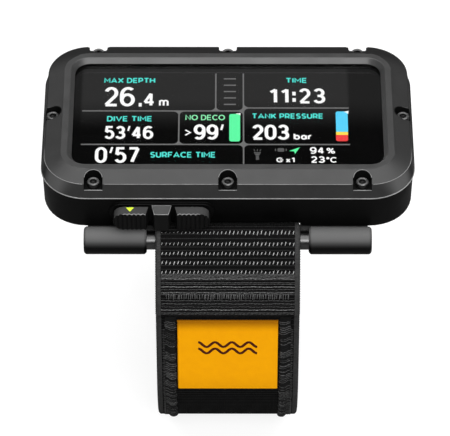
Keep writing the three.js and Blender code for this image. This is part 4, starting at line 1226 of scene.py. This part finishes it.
def float_pieces(route, look):
    chance = random.Random(4)
    front = [FLOAT_ROWS_START + k * FLOAT_ROW_STEP for k in range(FRONT_ROWS)]
    rear = [route.length - REAR_ROWS_START - k * FLOAT_ROW_STEP for k in range(REAR_ROWS)]
    for end, starts, thinning in (("front", front, button_shade_thinning), ("rear", rear, None)):
        shape = Shape()
        float_rows(route, starts, shape, chance, thinning)
        shape.piece(f"yarn_rows_{end}", look["float"], slot="webbing")


def cross_cord(route, s, radius, shape, chance):
    """One thread laid straight across the webbing."""
    half = STRAP_HALF_WIDTH - SELVEDGE_WIDTH
    x = np.linspace(-half, half, 130)
    phase = chance.uniform(0, 6)
    wander = 0.05 * np.sin(x * 0.8 + phase) + 0.035 * np.sin(x * 3.1 + phase * 2)
    height = OUTER_HALF + 0.07 + 0.05 * np.sin(x * 5.6 + phase)
    path = route.points(x, s + wander, height)
    shape.thread(path, radius * (1 + 0.18 * np.sin(x * 5.6 + phase)), up=(0, 0.3, 1))


LIGHT_CORDS = ((11.45, 0.13), (9.15, 0.11), (7.45, 0.1), (2.25, 0.12))
DIM_CORDS = ((12.75, 0.16), (12.4, 0.16), (12.05, 0.16), (11.75, 0.14), (10.4, 0.1), (9.95, 0.1), (8.4, 0.09),
             (7.0, 0.1), (5.1, 0.1), (4.15, 0.13), (3.2, 0.09), (1.3, 0.1), (0.9, 0.1))


def end_stitching(route, look):
    chance = random.Random(9)
    for kind, cords in (("light", LIGHT_CORDS), ("dim", DIM_CORDS)):
        shape = Shape()
        for s, radius in cords:
            cross_cord(route, s, radius, shape, chance)
        shape.piece(f"cords_{kind}", look[f"cord_{kind}"], slot="webbing")


TACK_LOW = 5.55
TACK_HIGH = 7.1
TACK_START = -17.2
TACK_END = 17.6
TACK_PITCH = 0.62


def bar_tack(route, look):
    """A dense zigzag seam that sews the two layers of webbing together."""
    chance = random.Random(12)
    seam = Shape()
    for place in range(int((TACK_END - TACK_START) / TACK_PITCH)):
        x = TACK_START + (place + chance.uniform(-0.25, 0.25)) * TACK_PITCH
        low, high = TACK_LOW + chance.uniform(-0.15, 0.25), TACK_HIGH + chance.uniform(-0.3, 0.15)
        t = np.linspace(0, 1, 7)
        lean = chance.uniform(-0.1, 0.22)
        height = OUTER_HALF + 0.05 + 0.22 * (1 - (2 * t - 1) ** 4)
        path = route.points(x + t * lean, low + (high - low) * t, height)
        seam.thread(path, chance.uniform(0.1, 0.19), up=(0.01, -0.8, 0.6))
    seam.piece("seam_tack", look["tack"], slot="webbing")


def loop_point(x, down, height):
    """A point on the outside of the loop; down is measured from where the loop starts to curve."""
    radius = LOOP_RADIUS + OUTER_HALF + height
    angle = np.maximum(down, 0) / (LOOP_RADIUS + OUTER_HALF)
    y = -radius * np.cos(angle)
    z = LOOP_ARC_Z - radius * np.sin(angle) - np.minimum(down, 0)
    return np.stack(np.broadcast_arrays(x, y, z), -1)


def grid_solid(top, bottom):
    """Points and faces of a closed body between two grids of the same size."""
    rows, columns = top.shape[:2]
    points = np.concatenate([top.reshape(-1, 3), bottom.reshape(-1, 3)])
    under = rows * columns
    faces = []
    for row in range(rows - 1):
        for column in range(columns - 1):
            a = row * columns + column
            b, c, d = a + 1, a + columns + 1, a + columns
            faces.append((a, d, c, b))
            faces.append((under + a, under + b, under + c, under + d))
    rim = list(range(columns))
    rim += [row * columns + columns - 1 for row in range(1, rows)]
    rim += [(rows - 1) * columns + column for column in range(columns - 2, -1, -1)]
    rim += [row * columns for row in range(rows - 2, 0, -1)]
    for place, a in enumerate(rim):
        b = rim[(place + 1) % len(rim)]
        faces.append((a, b, under + b, under + a))
    return points, faces


RIB_CRIMP = 0.74
RIB_HEIGHT = 1.05
RIB_FADE = 5.0
RIB_BULB = 0.74
RIB_FLANGE = 0.16
RIB_CREST = 0.62
RIB_START = LOOP_ARC_Z - RIB_TOP_Z
RIB_END = radians(RIB_SWEEP) * (LOOP_RADIUS + OUTER_HALF)


def rib_piece(side, look):
    """A crimped woven ridge, with a sewn flange on its outer side, that runs round under the loop."""
    chance = random.Random(20 + side)
    down = np.arange(RIB_START, RIB_END, 0.12)
    across = np.linspace(-1, 1, 15)
    outward = across * side
    count = int((RIB_END - RIB_START) / RIB_CRIMP) + 3
    strength = np.array([chance.uniform(0.5, 1.0) for _ in range(count)])
    turn = (down - RIB_START)[:, None] / RIB_CRIMP + 0.42 * np.abs(outward + 0.4) ** 1.5
    turn = turn + 0.2 * np.sin(down[:, None] * 0.9)
    number = np.clip(np.floor(turn).astype(int), 0, count - 1)
    crimp = np.abs(np.sin(pi * turn)) ** 0.8 * strength[number]
    bulb = np.sqrt(np.clip(1 - ((outward + 1 - RIB_BULB) / RIB_BULB) ** 2, 0, 1))
    ends = np.clip((down - RIB_START) / RIB_FADE, 0, 1) * np.clip((RIB_END - down) / 1.5, 0, 1)
    swell = (ends ** 0.6)[:, None] * (0.86 + 0.14 * np.sin(down * 0.45)[:, None])
    height = RIB_FLANGE + 0.1 * crimp + (RIB_HEIGHT - 0.26) * bulb * (0.45 + 0.55 * crimp) * swell
    wander = 0.1 * np.sin(down * 1.3)[:, None] + 0.06 * np.sin(down * 4.1 + 1)[:, None]
    x = side * RIB_X + across * (RIB_WIDTH / 2) + wander * np.abs(across)
    top = loop_point(x, down[:, None], height)
    bottom = loop_point(x, down[:, None], -0.15)
    shape = Shape().add(*grid_solid(top, bottom))
    columns = len(across) - 1
    for place in range(2 * (len(down) - 1) * columns):
        row, column = divmod(place // 2, columns)
        if place % 2 == 0 and crimp[row, column] > RIB_CREST and ends[row] > 0.3:
            shape.slots[place] = 1
    shape.piece(f"strap_ridge_{side_name(side)}", [look["rib"], look["rib_crest"]], slot="webbing",
                stands_for=[f"strap_rib_{side_name(side)}"])


EDGE_STITCH_PITCH = 0.66


def edge_stitches(side, look):
    """Short threads across the webbing between the rib and the woven edge."""
    chance = random.Random(40 + side)
    shape = Shape()
    start = RIB_START + RIB_FADE
    for place in range(int((RIB_END - start) / EDGE_STITCH_PITCH)):
        down = start + (place + chance.uniform(-0.15, 0.15)) * EDGE_STITCH_PITCH
        t = np.linspace(0, 1, 5)
        x = side * (RIB_X + RIB_WIDTH / 2 + 0.02 + t * chance.uniform(0.5, 0.75))
        path = loop_point(x, down + t * 0.12, 0.02 + 0.14 * (1 - (2 * t - 1) ** 2))
        shape.thread(path, 0.1, sides=5, up=(0, -0.8, 0.6))
    shape.piece(f"edge_stitches_{side_name(side)}", look["cord_dim"], slot="webbing")


LABEL_RISE = 0.72
LABEL_HEM = 0.55


def label_piece(look):
    """The sewn-on fabric label: a thin curved patch with a folded hem."""
    start = LOOP_ARC_Z - LABEL_TOP_Z
    end = radians(LABEL_SWEEP) * (LOOP_RADIUS + OUTER_HALF)
    down = np.concatenate([[start], start + np.linspace(0.06, end - start - 0.06, 120), [end]])
    half = LABEL_WIDTH / 2
    x = np.concatenate([[-half], np.linspace(-half + 0.06, half - 0.06, 100), [half]])
    near = np.minimum(np.minimum(down - start, end - down)[:, None], (half - np.abs(x)))
    rim = np.clip(near / 0.3, 0, 1)
    height = LABEL_RISE * (0.45 + 0.55 * np.sqrt(1 - (1 - rim) ** 2))
    height = height + 0.06 * np.exp(-((near - LABEL_HEM * 0.6) / 0.22) ** 2)
    height = height - 0.05 * np.exp(-((near - LABEL_HEM * 1.5) / 0.12) ** 2)
    top = loop_point(x, down[:, None], height)
    bottom = loop_point(x, down[:, None], 0.02)
    Shape().add(*grid_solid(top, bottom)).piece(
        "label_patch", look["label"], slot="label", stands_for=["strap_label"])


MOTIF_DOWN = -12.2
MOTIF_HALF = 8.4
MOTIF_WAVES = 3.5
MOTIF_SPACING = 2.6
MOTIF_RISE = 0.95
MOTIF_STROKE = 0.42


def label_motif(look):
    """Two plain wave lines woven into the label."""
    motif = Shape()
    x = np.linspace(-MOTIF_HALF, MOTIF_HALF, 140)
    for middle in (MOTIF_DOWN, MOTIF_DOWN + MOTIF_SPACING):
        wave = middle - MOTIF_RISE * np.sin(pi * MOTIF_WAVES * x / MOTIF_HALF)
        slope = np.gradient(wave, x)
        size = np.sqrt(1 + slope ** 2)
        edge = np.array([-1, -0.5, 0.5, 1]) * MOTIF_STROKE
        gx = x[:, None] - (slope / size)[:, None] * edge
        gd = wave[:, None] + (1 / size)[:, None] * edge
        top = loop_point(gx, gd, LABEL_RISE + 0.05)
        bottom = loop_point(gx, gd, LABEL_RISE - 0.1)
        motif.add(*grid_solid(top, bottom))
    motif.piece("label_waves", look["ink"], slot="label")


HOOK_PITCH = 1.5
HOOK_BACKING = 0.45
HOOK_BEND = ((0, 0), (0.7, 0), (1, 0.25), (0.75, 0.5))
TAB_RIDGES = 5
TAB_RIDGE_RADIUS = 0.28


def hook_piece(look):
    """Hook tape on the inside of the strap's tail: a backing strip with rows of small bent hooks."""
    low, high = (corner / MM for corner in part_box("hook_patch"))
    hooks = Shape()
    strip = [(low.x, low.z), (high.x, low.z), (high.x, high.z), (low.x, high.z)]
    points, faces = prism(strip, high.y - HOOK_BACKING, high.y)
    hooks.add([(x, y, z) for x, z, y in points], [tuple(reversed(face)) for face in faces])
    reach = high.y - low.y - HOOK_BACKING
    for row in range(int((high.z - low.z) / HOOK_PITCH)):
        z = low.z + (row + 0.5) * HOOK_PITCH
        for column in range(int((high.x - low.x) / HOOK_PITCH)):
            x = low.x + (column + 0.5 + 0.25 * (row % 2)) * HOOK_PITCH
            y = high.y - HOOK_BACKING + 0.05
            bent = [(x, y - reach * fall, z + hang) for fall, hang in HOOK_BEND]
            hooks.thread(bent, [0.16, 0.13, 0.12, 0.08], sides=5, up=(1, 0, 0))
    hooks.piece("hook_tape", look["hook"], slot="webbing", stands_for=["hook_patch"], smooth=False)


def tab_ridges(look):
    """Raised grip ridges across the outside of the pull tab."""
    low, high = (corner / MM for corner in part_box("pull_tab"))
    ridges = Shape()
    for number in range(TAB_RIDGES):
        z = low.z + (high.z - low.z) * (number + 1) / (TAB_RIDGES + 3)
        inset = (high.x - low.x) * 0.12
        x = np.linspace(low.x + inset, high.x - inset, 24)
        path = np.stack([x, np.full(24, high.y - 0.04), np.full(24, z)], 1)
        radius = TAB_RIDGE_RADIUS * np.sqrt(np.clip(1 - np.linspace(-1, 1, 24) ** 10, 0.05, 1))
        ridges.thread(path, radius, sides=8)
    ridges.piece("tail_tab_ridges", look["tab"], slot="seal_rubber")


def rear_pieces(look):
    refined("pull_tab", "tail_tab", look["tab"], bevel=0.5, angle=40, segments=3)
    hook_piece(look)
    tab_ridges(look)


def strap_pieces(look):
    route = Route()
    webbing_piece(route, look)
    float_pieces(route, look)
    end_stitching(route, look)
    bar_tack(route, look)
    for side in (-1, 1):
        rib_piece(side, look)
        edge_stitches(side, look)
    label_piece(look)
    label_motif(look)
    rear_pieces(look)


# ---- stage ----------------------------------------------------------------------------------

FLOOR_HALF = 4
FLOOR_PAPER = 0.3
FLOOR_GLOW = 0.8
ROOM_LIGHT = 0.03


def stage_floor(level):
    mesh = bpy.data.meshes.new("floor")
    half = FLOOR_HALF
    corners = [(-half, -half, level), (half, -half, level), (half, half, level), (-half, half, level)]
    mesh.from_pydata(corners, [], [(0, 1, 2, 3)])
    paper = Surface("floor_paper", FLOOR_PAPER, 0.9, vary=0.01, patch=200, grain=20, relief=0.0,
                    specular=0.0)
    paper.set("Emission Color", (1, 1, 1, 1))
    seen = paper.node("ShaderNodeLightPath").outputs["Is Camera Ray"]
    paper.join(paper.math("MULTIPLY", seen, FLOOR_GLOW), "Emission Strength")
    mesh.materials.append(paper.done())
    obj = bpy.data.objects.new("floor", mesh)
    SCENE.collection.objects.link(obj)


def area_light(name, place, aim, width, height, radiance):
    lamp = bpy.data.lights.new(name, "AREA")
    lamp.shape = "RECTANGLE"
    lamp.size = width
    lamp.size_y = height
    lamp.energy = radiance * 4 * width * height
    obj = bpy.data.objects.new(name, lamp)
    SCENE.collection.objects.link(obj)
    obj.location = place
    obj.rotation_euler = (Vector(aim) - Vector(place)).to_track_quat("-Z", "Y").to_euler()
    obj.visible_camera = False


def stage_light():
    """Each lamp's place and aim, its width and height in metres, and its radiance."""
    area_light("overhead", (0, -0.04, 0.8), (0, -0.04, 0), 1.4, 0.84, 2.25)
    area_light("front", (0.2, -0.85, 0.78), (0, 0, 0), 0.9, 0.5, 7.0)
    area_light("rear", (-0.25, 1.2, 0.28), (0, 0, 0), 1.2, 0.34, 1.0)
    world = bpy.data.worlds.new("room")
    SCENE.world = world
    world.use_nodes = True
    nodes, links = world.node_tree.nodes, world.node_tree.links
    background = nodes["Background"]
    background.inputs["Color"].default_value = (1, 1, 1, 1)
    seen = nodes.new("ShaderNodeLightPath").outputs["Is Camera Ray"]
    strength = nodes.new("ShaderNodeMapRange")
    links.new(seen, strength.inputs[0])
    strength.inputs[3].default_value = ROOM_LIGHT
    strength.inputs[4].default_value = 1.0
    links.new(strength.outputs[0], background.inputs["Strength"])


def stage_camera():
    data = bpy.data.cameras.new("camera")
    data.sensor_width = 36
    data.lens = CAMERA_LENS
    data.clip_start = 0.01
    data.clip_end = 50
    camera = bpy.data.objects.new("camera", data)
    SCENE.collection.objects.link(camera)
    towards = Vector((0, -cos(CAMERA_ELEVATION), sin(CAMERA_ELEVATION)))
    camera.location = TARGET + towards * CAMERA_DISTANCE
    dip = CAMERA_ELEVATION + CAMERA_DIP
    looking = Vector((-tan(CAMERA_YAW), cos(dip), -sin(dip)))
    camera.rotation_euler = looking.to_track_quat("-Z", "Y").to_euler()
    SCENE.camera = camera
    SCENE.view_settings.view_transform = "Standard"


# ---- the whole scene ------------------------------------------------------------------------

looks = case_materials() | strap_materials() | screen_materials()
stage_camera()
stage_light()
case_pieces(looks)
bezel_lines(looks)
hardware_pieces(looks)
button_pieces(looks)
button_marker(looks)
screw_pieces(looks)
screen_words(looks)
screen_lines(looks)
screen_gauges(looks)
screen_icons(looks)
strap_pieces(looks)

low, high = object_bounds()
stage_floor(min(low.z, cad_low.z) - 0.2 * MM)
